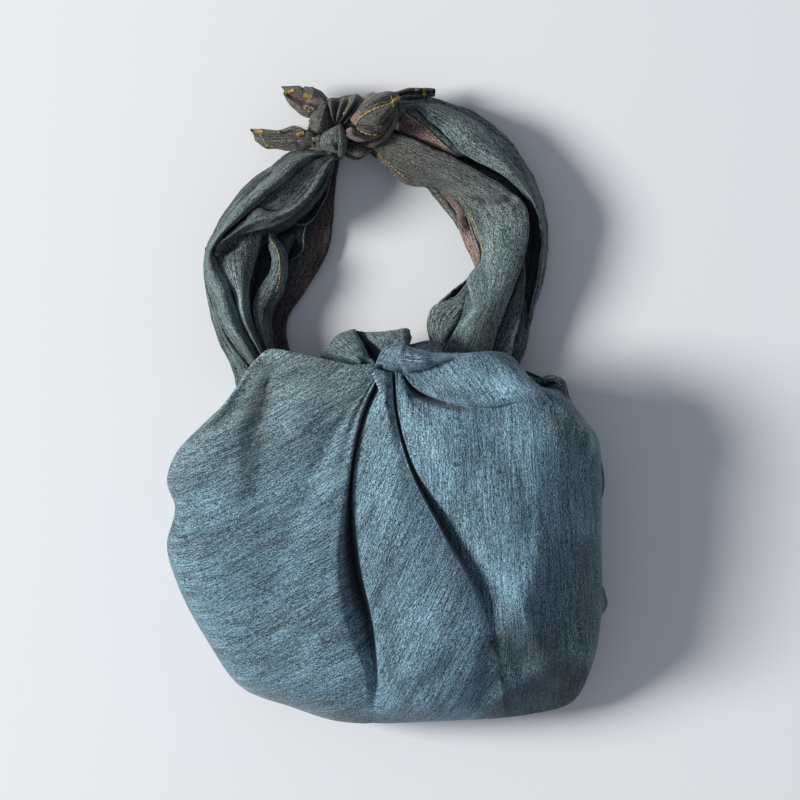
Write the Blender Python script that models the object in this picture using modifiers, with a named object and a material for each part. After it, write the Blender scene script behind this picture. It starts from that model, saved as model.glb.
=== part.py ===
# A furoshiki wrap bag: one hemmed square cloth knotted into a bag, lying on its back.
# +X is the bag's right as it is looked at, +Y runs from the bag up to the handle's knot,
# +Z is up from the surface that it lies on. Metres.
#
# Every stretch of the cloth is a surface through fold lines. A table has one row for each
# fold line (a ridge, a crease or an edge) and one column for each station along it. A cell is
# (x, y, height): the place in the photograph, in pixels, and the height over the surface in mm.

import math

import bmesh
import bpy
import numpy as np

metresPerPixel = 0.00071      # on the surface that the bag lies on
cameraHeight = 2.6            # the photograph was taken from straight above
photoMiddle = (400.0, 400.0)
originPixel = (384.6, 405.1)  # the pixel that X = Y = 0 stands under
clothThickness = 0.0024
smallestGap = 0.0001          # between rows, so that rows which meet still have places in order

# The bag.
knotPixel = (389.0, 371.0)    # where the pleats of the front gather
knotHeight = 80.0
gatherRadius = 9.0            # pixels; the pleats start here, under the knot

# Share of the way from the knot to the rim.
frontStations = (0.0, 0.12, 0.3, 0.5, 0.7, 0.86, 0.96, 1.0)
tuckAngles = (30.0, 60.0, 90.0)   # degrees round the side, from the rim down to the surface
backShares = (0.4, 0.75, 1.0)     # share of the way from the side to the mouth's back edge
sideInset = 26.0                  # pixels from the rim in to where the cloth meets the surface
crownShare = 0.3                  # the front has risen from the knot to its crown by here
domePower = 0.55                  # under 1: the front stays level and turns down late
mouthSharp = 0.3

# One row for each fold line of the front, from the mouth's left end round to its right end.
# rim: where the line passes over the side; rimHeight and crown: mm; fullness: how far out the
# top stays level; bow: pixels that the line curves aside halfway; path: the places that a
# winding fold passes on its way to the rim; sink: mm that the line lies below the panels, at
# each station after the first; sharp: 1 is a hard fold.
bagFolds = (
    dict(name="leftShoulder", rim=(222, 406), rimHeight=42, crown=80, fullness=3.0),
    dict(name="leftValley", rim=(200, 427), rimHeight=42, crown=82, fullness=3.0,
         path=((330, 374), (283, 383), (258, 395), (236, 408), (216, 418)), sink=(0, 1, 4, 5, 3, 1, 0)),
    dict(name="leftUpper", rim=(175, 455), rimHeight=44, crown=88, fullness=3.0),
    dict(name="leftElbow", rim=(167, 482), rimHeight=46, crown=92, fullness=3.2),
    dict(name="leftNotch", rim=(175, 507), rimHeight=46, crown=94, fullness=3.0),
    dict(name="leftSecond", rim=(167, 545), rimHeight=44, crown=95, fullness=3.2),
    dict(name="leftWaist", rim=(178, 585), rimHeight=44, crown=95, fullness=3.2),
    dict(name="leftLower", rim=(207, 640), rimHeight=42, crown=95, fullness=3.0, bow=4),
    dict(name="leftCorner", rim=(243, 688), rimHeight=38, crown=94, fullness=3.0, bow=12),
    dict(name="leftBase", rim=(292, 707), rimHeight=36, crown=96, fullness=3.4, bow=24),
    dict(name="leftPanel", rim=(333, 720), rimHeight=36, crown=98, fullness=4.0, bow=31),
    dict(name="leftLip", rim=(362, 723), rimHeight=36, crown=97, fullness=4.2,
         path=((367, 413), (350, 482), (340, 560), (342, 625), (362, 678)),
         sink=(1, 1, 1, 1, 0, 0, 0), sharp=0.4),
    dict(name="leftHollow", rim=(374, 724), rimHeight=36, crown=97, fullness=4.2,
         path=((369, 414), (352, 484), (350, 561), (358, 626), (374, 680)),
         sink=(11, 15, 34, 30, 7, 1, 0), sharp=0.3),
    dict(name="wedgeLeft", rim=(386, 725), rimHeight=36, crown=97, fullness=4.2,
         path=((371, 415), (354, 486), (360, 562), (374, 627), (380, 681)),
         sink=(1, 1, 2, 3, 1, 0, 0), sharp=0.5),
    dict(name="wedgeMiddle", rim=(425, 725), rimHeight=36, crown=100, fullness=4.4,
         path=((384, 415), (386, 490), (402, 565), (418, 630), (423, 685))),
    dict(name="wedgeRight", rim=(505, 720), rimHeight=36, crown=99, fullness=4.4,
         path=((397, 413), (414, 473), (442, 533), (474, 592), (494, 652)),
         sink=(5, 3, 0, 0, 0, 0, 0), sharp=0.6),
    dict(name="rightCrease", rim=(518, 719), rimHeight=36, crown=99, fullness=4.4,
         path=((399, 412), (419, 470), (452, 528), (484, 588), (502, 650)),
         sink=(11, 14, 20, 11, 2, 0, 0), sharp=0.3),
    dict(name="rightLip", rim=(530, 718), rimHeight=36, crown=99, fullness=4.4,
         path=((402, 411), (426, 467), (466, 525), (497, 584), (512, 648)),
         sink=(0, 1, 3, 4, 2, 1, 0), sharp=0.5),
    dict(name="rightCorner", rim=(573, 705), rimHeight=38, crown=101, fullness=5.0),
    dict(name="rightLower", rim=(593, 660), rimHeight=42, crown=102, fullness=5.0),
    dict(name="rightWaist", rim=(601, 610), rimHeight=44, crown=103, fullness=5.0),
    dict(name="rightPanel", rim=(601, 545), rimHeight=46, crown=103, fullness=5.0),
    dict(name="rightUpper", rim=(601, 485), rimHeight=48, crown=101, fullness=4.6),
    dict(name="rightShoulder", rim=(597, 437), rimHeight=50, crown=96, fullness=4.4),
    dict(name="petalCrease", rim=(585, 420), rimHeight=52, crown=91, fullness=4.4,
         path=((415, 390), (445, 402), (485, 411), (522, 411), (555, 412)),
         sink=(7, 8, 6, 2, 0, 0, 0), sharp=0.4),
    dict(name="petalLip", rim=(576, 411), rimHeight=54, crown=91, fullness=4.4,
         path=((416, 387), (446, 399), (486, 405), (522, 402), (552, 403)),
         sink=(-3, -4, -3, 0, 0, 0, 0), sharp=0.5),
    dict(name="petalMiddle", rim=(568, 393), rimHeight=56, crown=92, fullness=4.4,
         path=((416, 378), (448, 379), (486, 380), (520, 385), (548, 392)),
         sink=(-2, -5, -4, 0, 0, 0, 0)),
    dict(name="petalTop", rim=(565, 386), rimHeight=56, crown=86, fullness=4.4,
         path=((415, 369), (441, 362), (478, 356), (522, 371), (547, 390)),
         sink=(2, 4, 2, 1, 0, 0, 0), sharp=0.5),
)

# The mouth's two ends run from the knot along the front edge and down to the back, so their
# cells are given whole: the front stations, then the tuck, then the back.
mouthLeft = (
    (381, 367, 78), (362, 367, 77), (330, 360, 74), (298, 353, 70), (270, 349, 65), (256, 359, 60),
    (247, 370, 54), (239, 383, 46), (241, 382, 26), (244, 380, 8), (247, 378, 0), (255, 374, 0),
    (261, 370.5, 0), (265, 368, 0),
)
mouthRight = (
    (404, 353, 82), (424, 352, 78), (458, 353, 73), (506, 353, 68), (530, 377, 66), (544, 387, 65),
    (555, 384, 62), (562, 381, 56), (560, 380.5, 38), (555, 379, 13), (548, 377, 0), (535, 371.5, 0),
    (524, 367, 0), (517, 364, 0),
)
# The mouth's back edge, from left to right.
backEdge = ((265, 368), (290, 363), (345, 359), (395, 350), (430, 341), (470, 346), (517, 364))

# The two arms of the handle.
# Rows run round the gathered cloth of an arm, from its hem over the folds to its outer side, then
# under it along the surface and up its inner side, which borders the ring.
# Columns of the left arm: top knot, upper bend, upper arm, elbow, middle, lower arm, mouth, in
# the bag.
leftArm = dict(
    hem=(
        (337, 160, 10), (333, 188, 10), (304, 224, 12), (287, 258, 28),
        (284, 290, 26), (271, 320, 22), (276, 350, 22), (288, 384, 16),
    ),
    hemRidge=(
        (336, 160, 10), (331, 188, 10), (302, 224, 13), (280, 254, 33),
        (270, 290, 33), (265, 320, 30), (271, 350, 28), (282, 384, 20),
    ),
    hemFold=(
        (336, 160, 9), (329, 188, 9), (298, 224, 10), (272, 250, 24),
        (259, 290, 24), (258, 320, 22), (266, 350, 22), (277, 384, 16),
    ),
    gap=(
        (336, 160, 8), (328, 188, 7), (294, 224, 8), (264, 248, 7),
        (254, 290, 6), (255, 320, 7), (264, 350, 9), (273, 384, 10),
    ),
    tubeUnder=(
        (335, 159, 15), (326, 188, 22), (298, 220, 26), (256, 246, 24),
        (249, 288, 24), (252, 320, 26), (262, 350, 26), (269, 383, 20),
    ),
    tube=(
        (334, 158, 24), (319, 188, 38), (284, 217, 42), (222, 250, 34),
        (233, 286, 38), (246, 322, 38), (259, 350, 36), (264, 383, 30),
    ),
    pocket=(
        (333, 157, 22), (312, 188, 26), (270, 213, 24), (214, 250, 24),
        (228, 286, 30), (242, 323, 31), (256, 351, 31), (261, 384, 28),
    ),
    leaf=(
        (332, 156, 24), (300, 184, 34), (260, 206, 28), (212, 249, 21),
        (226, 286, 24), (240, 324, 25), (255, 352, 26), (258, 385, 25),
    ),
    crease=(
        (331, 156, 20), (292, 176, 20), (250, 212, 18), (210, 249, 16),
        (223, 286, 16), (238, 325, 18), (253, 353, 20), (255, 386, 20),
    ),
    outerRidge=(
        (329, 154, 26), (286, 170, 42), (240, 207, 46), (207, 252, 38),
        (216, 288, 40), (232, 327, 40), (248, 355, 38), (251, 388, 32),
    ),
    split=(
        (328, 153, 26), (280, 166, 42), (234, 205, 46), (206, 254, 37),
        (212, 290, 38), (225, 332, 30), (242, 358, 28), (247, 389, 28),
    ),
    outerFold=(
        (326, 152, 24), (273, 165, 36), (229, 207, 40), (205, 256, 32),
        (208, 292, 34), (219, 334, 34), (234, 362, 32), (243, 390, 28),
    ),
    silhouette=(
        (322, 151, 14), (262, 173, 18), (222, 216, 18), (204, 262, 18),
        (207, 296, 18), (217, 338, 18), (229, 362, 18), (239, 392, 14),
    ),
    under=(
        (325, 153, 3), (268, 178, 1.2), (229, 220, 1.2), (210, 264, 1.2),
        (213, 296, 1.2), (223, 336, 1.2), (236, 362, 1.2), (246, 392, 1.2),
    ),
    floorLayer=(
        (331, 157, 1.2), (296, 190, 1.2), (262, 225, 1.2), (244, 262, 1.2),
        (240, 296, 1.2), (244, 330, 1.2), (258, 356, 1.2), (270, 388, 1.2),
    ),
    innerFold=(
        (336, 160, 4), (324, 194, 5), (303, 228, 8), (300, 254, 9),
        (280, 294, 6), (268, 326, 4), (276, 354, 3), (290, 386, 1.2),
    ),
    ringSide=(
        (339, 160, 12), (335, 192, 20), (333, 222, 25), (326, 256, 24),
        (306, 290, 20), (287, 322, 16), (290, 352, 12), (304, 386, 6),
    ),
)

# Columns of the right arm: top knot, upper bend, shoulder, upper arm, elbow, middle, lower arm,
# mouth, in the bag.
rightArm = dict(
    hem=(
        (366, 148, 22), (398, 178, 24), (437, 190, 28), (471, 222, 30), (481, 262, 34),
        (468, 286, 38), (461, 318, 38), (440, 356, 34), (430, 392, 26),
    ),
    band=(
        (370, 143, 34), (412, 164, 40), (460, 180, 46), (500, 214, 50), (506, 258, 54),
        (492, 292, 56), (482, 324, 56), (470, 360, 50), (462, 394, 38),
    ),
    bandEdge=(
        (374, 138, 32), (412, 141, 36), (464, 161, 38), (516, 192, 40), (526, 242, 38),
        (514, 286, 40), (502, 320, 40), (491, 358, 38), (484, 392, 30),
    ),
    gap=(
        (377, 134, 20), (414, 136, 17), (466, 158, 16), (521, 190, 14), (530, 242, 12),
        (519, 288, 12), (507, 322, 12), (497, 358, 12), (490, 392, 12),
    ),
    facing=(
        (380, 128, 20), (420, 125, 22), (470, 157, 20), (525, 195, 16), (534, 242, 13),
        (523, 290, 14), (512, 324, 16), (503, 358, 18), (496, 392, 16),
    ),
    outerEdge=(
        (384, 121, 26), (428, 119, 32), (474, 157, 32), (528, 198, 30), (538, 242, 24),
        (526, 291, 22), (517, 326, 24), (510, 358, 24), (502, 392, 20),
    ),
    outerRidge=(
        (388, 112, 30), (446, 120, 38), (500, 152, 38), (534, 205, 32), (541, 248, 26),
        (532, 293, 22), (522, 328, 22), (515, 359, 22), (507, 392, 18),
    ),
    line=(
        (392, 104, 26), (462, 116, 32), (514, 170, 32), (539, 216, 27), (543, 250, 22),
        (536, 294, 19), (526, 330, 19), (518, 360, 18), (510, 392, 16),
    ),
    silhouette=(
        (396, 98, 14), (470, 109, 14), (524, 160, 14), (546, 212, 14), (548, 252, 14),
        (538, 295, 13), (529, 331, 13), (521, 361, 13), (513, 392, 12),
    ),
    under=(
        (392, 104, 3), (464, 116, 1.2), (517, 165, 1.2), (540, 213, 1.2), (542, 252, 1.2),
        (532, 294, 1.2), (523, 330, 1.2), (515, 360, 1.2), (507, 392, 1.2),
    ),
    floorLayer=(
        (384, 122, 1.2), (432, 144, 1.2), (480, 180, 1.2), (506, 222, 1.2), (508, 256, 1.2),
        (500, 290, 1.2), (488, 326, 1.2), (476, 360, 1.2), (470, 392, 1.2),
    ),
    innerFold=(
        (374, 140, 3), (410, 166, 3), (446, 190, 3), (474, 224, 4), (484, 262, 4),
        (466, 296, 4), (448, 326, 3), (446, 358, 3), (444, 392, 1.2),
    ),
    ringSide=(
        (366, 148, 10), (398, 176, 8), (431, 191, 12), (458, 228, 16), (476, 266, 16),
        (440, 301, 20), (427, 322, 18), (432, 352, 12), (430, 392, 6),
    ),
)
# How hard the folds of the stretches are, from 0, round, to 1, sharp.
sharpFolds = dict(hem=0.2, hemFold=0.4, gap=0.4, crease=0.4, pocket=0.3, bandEdge=0.4, outerEdge=0.5)

# The front's ear, the tails and the knots.
# Columns run from the knot out to the tip or the rolled end.
ear = dict(
    leftRoot=((374, 372, 66), (352, 368, 62), (334, 364, 54), (320, 360, 46), (318, 358, 36)),
    leftEdge=((376, 368, 70), (352, 360, 68), (336, 352, 60), (327, 350, 50), (326, 352, 38)),
    leftLobe=((378, 364, 72), (360, 352, 72), (346, 342, 66), (339, 336, 54), (341, 338, 38)),
    fold=((380, 362, 68), (370, 352, 58), (358, 341, 52), (350, 332, 46), (352, 336, 36)),
    rightLobe=((384, 360, 72), (378, 350, 72), (371, 339, 68), (366, 330, 56), (368, 335, 38)),
    rightTop=((390, 358, 72), (392, 348, 72), (392, 338, 68), (391, 330, 56), (392, 336, 38)),
    rolledEnd=((396, 358, 70), (402, 350, 70), (406, 341, 66), (407, 332, 56), (404, 336, 40)),
    endUnder=((398, 360, 66), (404, 353, 60), (411, 346, 54), (411, 338, 48), (406, 341, 40)),
)
tailUpperLeft = dict(
    top=((334, 112, 30), (322, 97, 32), (308, 88, 32), (292, 86, 28), (281, 88, 24)),
    middle=((334, 116, 36), (318, 106, 40), (304, 99, 38), (292, 94, 32), (283, 91, 26)),
    bottom=((334, 122, 28), (316, 119, 30), (303, 118, 28), (292, 109, 26), (285, 97, 22)),
)
tailLeft = dict(
    top=((330, 132, 30), (306, 127, 32), (292, 127, 28), (268, 130, 22), (251, 128, 18)),
    middle=((330, 140, 38), (306, 137, 38), (290, 137, 34), (270, 137, 27), (253, 132, 20)),
    bottom=((330, 148, 26), (306, 149, 26), (288, 150, 22), (268, 148, 17), (256, 141, 14)),
)
tailRight = dict(
    top=((380, 98, 18), (396, 92, 20), (408, 88, 20), (424, 88, 18), (435, 89, 16)),
    bottom=((380, 108, 14), (396, 102, 16), (410, 98, 14), (424, 98, 12), (436, 98, 10)),
)
tailFront = dict(
    top=((340, 124, 38), (354, 108, 42), (368, 95, 42), (384, 92, 38), (400, 96, 34)),
    middle=((342, 128, 44), (360, 117, 50), (376, 108, 50), (390, 102, 44), (401, 98, 36)),
    bottom=((344, 133, 36), (364, 132, 40), (382, 128, 38), (394, 115, 36), (400, 100, 33)),
)
pinkLoop = dict(
    top=((344, 131, 34), (354, 127, 38), (368, 132, 36), (382, 131, 30)),
    middle=((344, 136, 38), (354, 134, 43), (370, 138, 40), (388, 130, 30)),
    bottom=((346, 142, 30), (358, 143, 34), (374, 143, 30), (392, 126, 24)),
)

# The pleats that fan up from the top knot's front band. Columns run from the band over the top.
knotFan = dict(
    left=((331, 128, 28), (324, 117, 36), (322, 107, 33), (326, 100, 18)),
    firstGroove=((332, 127, 26), (329, 116, 29), (328, 106, 27), (330, 99, 14)),
    firstPleat=((333, 126, 32), (333, 114, 41), (334, 103, 36), (335, 97, 18)),
    secondGroove=((334, 126, 27), (337, 114, 31), (339, 103, 28), (340, 97, 14)),
    secondPleat=((335, 126, 32), (342, 113, 43), (345, 102, 38), (347, 95, 18)),
    thirdGroove=((337, 126, 27), (346, 113, 32), (351, 102, 29), (353, 95, 14)),
    thirdPleat=((338, 126, 32), (350, 112, 41), (357, 102, 36), (359, 95, 18)),
    right=((340, 127, 26), (355, 115, 30), (363, 104, 26), (364, 98, 14)),
)

# Rolled bands of the knots. Columns: x, y and height of the middle, half width in pixels and
# half thickness in mm.
rolledBands = dict(
    frontKnot=((375, 368, 70, 4, 6), (383, 361, 83, 9, 10), (395, 359, 88, 12, 11),
               (410, 360, 85, 10, 9), (428, 360, 79, 7, 6), (446, 358, 75, 3, 4)),
    topKnotFront=((336, 124, 28, 5, 6), (333, 134, 37, 12, 9), (333, 144, 37, 13, 9),
                  (335, 152, 31, 9, 8), (339, 160, 18, 4, 6)),
    topKnotLeft=((328, 128, 24, 7, 8), (318, 121, 28, 8, 10), (315, 112, 27, 7, 9), (322, 105, 24, 5, 7)),
    roll=(
        (366, 144, 24, 4, 5), (382, 139, 29, 4, 5), (392, 128, 31, 4, 5),
        (397, 114, 30, 3, 5), (399, 102, 28, 2, 3),
    ),
    lowerBand=((344, 146, 16, 5, 6), (354, 152, 17, 6, 7), (366, 153, 16, 5, 6), (378, 147, 16, 5, 6)),
    packedCloth=(
        (322, 128, 16, 5, 6), (332, 126, 20, 16, 16), (348, 126, 20, 20, 17),
        (364, 132, 18, 16, 14), (378, 140, 14, 6, 7),
    ),
)

# Each stretch of cloth that is joined to the bag, and the mean size of its facets in metres.
foldedStretches = (
    ("left_arm", leftArm, 0.012),
    ("right_arm", rightArm, 0.012),
    ("ear", ear, 0.009),
    ("tail_upper_left", tailUpperLeft, 0.008),
    ("tail_left", tailLeft, 0.008),
    ("tail_right", tailRight, 0.008),
    ("tail_front", tailFront, 0.008),
    ("pink_loop", pinkLoop, 0.008),
    ("knot_fan", knotFan, 0.008),
)
bagStep = 0.014
bandStep = 0.007
bandSides = 10
bandClearance = 0.0004        # a knot's lowest point over the surface
clothColour = (0.105, 0.205, 0.250, 1.0)
clothRoughness = 0.9
hardEdgeAngle = 60.0          # degrees; a sharper turn than this is shown as an edge
mergeDistance = 0.00001       # points this close, left by the joining, are made one


# Pixels and mm of height to metres: the nearer to the camera, the larger a thing shows.
def placed(cells):
    cells = np.asarray(cells, float)
    height = cells[..., 2] * 0.001
    shrink = 1.0 - height / cameraHeight
    x = (cells[..., 0] - photoMiddle[0]) * shrink + photoMiddle[0] - originPixel[0]
    y = (cells[..., 1] - photoMiddle[1]) * shrink + photoMiddle[1] - originPixel[1]
    return np.stack((x * metresPerPixel, -y * metresPerPixel, height), axis=-1)


# Weights of a cubic curve through points at the given places: at each sample, two end points
# and two end slopes, where a slope leans to the nearer neighbour and shrinks at a sharp point.
def curveWeights(places, samples, sharp):
    count = len(places)
    gaps = np.diff(places)
    slopes = np.zeros((count, count))
    slopes[0, :2] = (-1 / gaps[0], 1 / gaps[0])
    slopes[-1, -2:] = (-1 / gaps[-1], 1 / gaps[-1])
    inner = np.arange(1, count - 1)
    before, after = gaps[:-1], gaps[1:]
    slopes[inner, inner - 1] = -after / (before * (before + after))
    slopes[inner, inner] = (after - before) / (before * after)
    slopes[inner, inner + 1] = before / (after * (before + after))
    slopes *= (1.0 - np.asarray(sharp, float))[:, None]
    first = np.clip(np.searchsorted(places, samples, side="right") - 1, 0, count - 2)
    gap = gaps[first]
    part = ((samples - places[first]) / gap)[:, None]
    ends = np.eye(count)
    return (
        (2 * part**3 - 3 * part**2 + 1) * ends[first]
        + (3 * part**2 - 2 * part**3) * ends[first + 1]
        + (part**3 - 2 * part**2 + part) * gap[:, None] * slopes[first]
        + (part**3 - part**2) * gap[:, None] * slopes[first + 1]
    )


# Places of the rows by the mean distance between neighbours, and samples about a step apart.
def spacing(points, step):
    gaps = np.linalg.norm(np.diff(points, axis=0), axis=-1).mean(axis=1)
    gaps = np.maximum(gaps, smallestGap)
    places = np.concatenate(([0.0], np.cumsum(gaps)))
    counts = np.maximum(1, np.round(gaps / step)).astype(int)
    samples = [places[i] + gaps[i] * np.arange(n) / n for i, n in enumerate(counts)]
    return places, np.concatenate(samples + [places[-1:]])


# A surface through a table of points: cubic across the rows and cubic along the columns, and
# no lower than the given height.
def surfaceThrough(points, sharp, step, lowest):
    rowPlaces, rowSamples = spacing(points, step)
    columnPlaces, columnSamples = spacing(points.transpose(1, 0, 2), step)
    across = curveWeights(rowPlaces, rowSamples, sharp)
    along = curveWeights(columnPlaces, columnSamples, np.zeros(len(columnPlaces)))
    grid = np.einsum("ur,rcd,vc->uvd", across, points, along)
    grid[..., 2] = np.maximum(grid[..., 2], lowest)
    return grid


# The table of the bag: each fold line runs from the knot to the rim, sinks or rises from a
# domed front, turns under at the side by a quarter ellipse and runs up the flat back.
def bagCells():
    knot = np.array(knotPixel)
    rows = [np.array(mouthLeft, float)]
    sharp = [mouthSharp]
    edge = np.array(backEdge, float)
    edgePlaces = np.concatenate(([0.0], np.cumsum(np.linalg.norm(np.diff(edge, axis=0), axis=1))))
    stations = np.array(frontStations)
    turns = np.radians(tuckAngles)
    shares = np.array(backShares)
    for index, fold in enumerate(bagFolds):
        rim = np.array(fold["rim"], float)
        if "path" in fold:
            first = np.array(fold["path"][0], float) - knot
            start = knot + first / np.linalg.norm(first) * gatherRadius
            way = np.vstack((start, fold["path"], rim))
            marks = np.array((0.0, *frontStations[1:6], 1.0))
            plan = curveWeights(marks, stations, np.zeros(len(marks))) @ way
        else:
            ahead = (rim - knot) / np.linalg.norm(rim - knot)
            start = knot + ahead * gatherRadius
            aside = np.array((-ahead[1], ahead[0])) * fold.get("bow", 0.0)
            plan = start + (rim - start) * stations[:, None] + aside * np.sin(math.pi * stations)[:, None]
        level = (1.0 - stations ** fold["fullness"]) ** domePower
        rise = np.clip(stations / crownShare, 0, 1)
        top = knotHeight + (fold["crown"] - knotHeight) * rise * rise * (3 - 2 * rise)
        height = fold["rimHeight"] + (top - fold["rimHeight"]) * level
        height -= np.array((0, *fold.get("sink", (0,) * 7)), float)
        where = (index + 1) / (len(bagFolds) + 1) * edgePlaces[-1]
        end = np.array([np.interp(where, edgePlaces, edge[:, axis]) for axis in (0, 1)])
        inward = (end - rim) / np.linalg.norm(end - rim)
        tuck = rim + inward * (sideInset * (1 - np.cos(turns)))[:, None]
        tuckHeight = fold["rimHeight"] * (1 - np.sin(turns))
        back = tuck[-1] + (end - tuck[-1]) * shares[:, None]
        rows.append(np.vstack((
            np.column_stack((plan, height)),
            np.column_stack((tuck, tuckHeight)),
            np.column_stack((back, np.zeros(len(back)))),
        )))
        sharp.append(fold.get("sharp", 0.0))
    rows.append(np.array(mouthRight, float))
    sharp.append(mouthSharp)
    return np.array(rows), sharp


def meshObject(name, collection, points, faces):
    mesh = bpy.data.meshes.new(name)
    mesh.from_pydata(points.reshape(-1, 3).tolist(), [], faces)
    mesh.update()
    piece = bpy.data.objects.new(name, mesh)
    collection.objects.link(piece)
    return piece


# A grid of points becomes cloth: quads, with a wall of the cloth's thickness closed at its edges.
# An offset of -1 puts the wall inside the surface and 0 puts it on both sides.
def clothOf(name, collection, grid, offset=0.0):
    rows, columns = grid.shape[:2]
    corner = np.arange(rows * columns).reshape(rows, columns)
    quads = np.stack((corner[:-1, :-1], corner[1:, :-1], corner[1:, 1:], corner[:-1, 1:]), axis=-1)
    piece = meshObject(name, collection, grid, quads.reshape(-1, 4).tolist())
    wall = piece.modifiers.new("Cloth", "SOLIDIFY")
    wall.thickness = clothThickness
    wall.offset = offset
    wall.use_rim = True
    return piece


# The surface of a stretch of cloth, through its table of fold lines.
def stretchThrough(table, step):
    sharp = [sharpFolds.get(name, 0.0) for name in table]
    return surfaceThrough(placed(list(table.values())), sharp, step, clothThickness / 2)


# A rolled band: an ellipse carried along a smooth line, its width level and its ends closed.
def bandOf(name, spine):
    columns = np.asarray(spine, float)
    middle = placed(columns[:, :3])
    halfWidth = columns[:, 3] * metresPerPixel
    halfThickness = columns[:, 4] * 0.001
    places, samples = spacing(middle[:, None], bandStep)
    weights = curveWeights(places, samples, np.zeros(len(places)))
    middle, halfWidth, halfThickness = weights @ middle, weights @ halfWidth, weights @ halfThickness
    ahead = np.gradient(middle, axis=0)
    ahead /= np.linalg.norm(ahead, axis=1)[:, None]
    side = np.cross(ahead, (0.0, 0.0, 1.0))
    side /= np.linalg.norm(side, axis=1)[:, None]
    up = np.cross(side, ahead)
    turn = np.arange(bandSides) / bandSides * 2 * math.pi
    grid = (
        middle[:, None]
        + side[:, None] * halfWidth[:, None, None] * np.cos(turn)[None, :, None]
        + up[:, None] * halfThickness[:, None, None] * np.sin(turn)[None, :, None]
    )
    rings = len(grid)
    corner = np.arange(rings * bandSides).reshape(rings, bandSides)
    following = np.roll(corner, -1, axis=1)
    quads = np.stack((corner[:-1], corner[1:], following[1:], following[:-1]), axis=-1).reshape(-1, 4)
    faces = quads.tolist() + [corner[0].tolist(), corner[-1][::-1].tolist()]
    grid[..., 2] = np.maximum(grid[..., 2], bandClearance)
    piece = meshObject(name, makings, grid, faces)
    shape = bmesh.new()
    shape.from_mesh(piece.data)
    bmesh.ops.recalc_face_normals(shape, faces=shape.faces)
    shape.to_mesh(piece.data)
    shape.free()
    return piece


# The cloth packed in the knots encloses small gaps that nothing reaches: each is a shell of its
# own inside the solid, and only the largest shell, the outside, is kept. A shell is followed
# from face to face, over the edges that two faces share.
def fillSealedGaps(piece):
    graph = bpy.context.evaluated_depsgraph_get()
    mesh = bpy.data.meshes.new_from_object(piece.evaluated_get(graph))
    shape = bmesh.new()
    shape.from_mesh(mesh)
    bmesh.ops.remove_doubles(shape, verts=shape.verts, dist=mergeDistance)
    bmesh.ops.dissolve_degenerate(shape, edges=shape.edges, dist=mergeDistance)
    bmesh.ops.triangulate(shape, faces=shape.faces)
    shells = []
    waiting = set(shape.faces)
    while waiting:
        shell = [waiting.pop()]
        for face in shell:
            for edge in face.edges:
                for other in edge.link_faces:
                    if len(edge.link_faces) == 2 and other in waiting:
                        waiting.discard(other)
                        shell.append(other)
        shells.append(shell)
    shells.sort(key=len)
    inner = [face for shell in shells[:-1] for face in shell]
    bmesh.ops.delete(shape, geom=inner, context="FACES")
    shape.to_mesh(mesh)
    shape.free()
    piece.modifiers.clear()
    piece.data = mesh


# Dyed cotton: blue on the bag.
def clothMaterial():
    material = bpy.data.materials.new("BlueCotton")
    material.use_nodes = True
    surface = material.node_tree.nodes["Principled BSDF"]
    surface.inputs["Base Color"].default_value = clothColour
    surface.inputs["Roughness"].default_value = clothRoughness
    surface.inputs["Metallic"].default_value = 0.0
    return material


for old in list(bpy.data.objects):
    bpy.data.objects.remove(old, do_unlink=True)
bag = bpy.data.collections.new("FuroshikiWrap")
makings = bpy.data.collections.new("JoinedToTheBag")
bpy.context.scene.collection.children.link(bag)
bpy.context.scene.collection.children.link(makings)

cells, sharp = bagCells()
bagSurface = surfaceThrough(placed(cells), sharp, bagStep, 0.0)
body = clothOf("furoshiki_cloth", bag, bagSurface[::-1], offset=-1.0)  # turned to face outwards
for name, table, step in foldedStretches:
    clothOf(name, makings, stretchThrough(table, step))
for name, spine in rolledBands.items():
    bandOf(name, spine)
for piece in makings.objects:
    piece.hide_render = True
    piece.display_type = "WIRE"

# One cloth, so one solid: the arms, knots, tails and ear are joined to the bag.
joined = body.modifiers.new("OneCloth", "BOOLEAN")
joined.operation = "UNION"
joined.operand_type = "COLLECTION"
joined.collection = makings
joined.solver = "MANIFOLD"
fillSealedGaps(body)
body.data.materials.append(clothMaterial())
body.data.shade_smooth()
body.data.set_sharp_from_angle(angle=math.radians(hardEdgeAngle))
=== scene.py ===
import math

import bpy
import numpy as np
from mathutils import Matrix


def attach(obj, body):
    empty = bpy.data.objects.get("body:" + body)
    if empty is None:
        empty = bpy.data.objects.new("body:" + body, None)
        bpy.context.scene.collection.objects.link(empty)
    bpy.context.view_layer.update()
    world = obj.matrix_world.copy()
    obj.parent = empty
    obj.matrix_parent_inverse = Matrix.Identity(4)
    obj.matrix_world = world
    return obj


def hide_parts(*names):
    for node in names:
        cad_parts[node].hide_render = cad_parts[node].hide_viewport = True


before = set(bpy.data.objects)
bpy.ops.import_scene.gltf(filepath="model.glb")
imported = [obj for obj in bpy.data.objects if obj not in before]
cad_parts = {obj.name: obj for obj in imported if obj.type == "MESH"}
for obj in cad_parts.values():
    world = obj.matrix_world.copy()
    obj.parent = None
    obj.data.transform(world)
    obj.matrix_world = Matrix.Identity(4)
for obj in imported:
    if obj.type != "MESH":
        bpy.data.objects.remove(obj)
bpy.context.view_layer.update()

# A furoshiki wrap bag: one hemmed square cloth, knotted and laid on its back, seen from above.
# Every stretch of the cloth is a surface through fold lines. A table has one row for each fold
# line and one column for each station along it. A cell is (x, y, height): the place in the
# photograph in pixels, and the height over the floor in mm.

photoView = dict(
    metresPerPixel=0.00071,
    cameraHeight=2.6,
    middle=(400.0, 400.0),
    origin=(384.6, 405.1),    # the pixel over X = Y = 0
    size=800,
    sensor=36.0,
)

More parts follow.
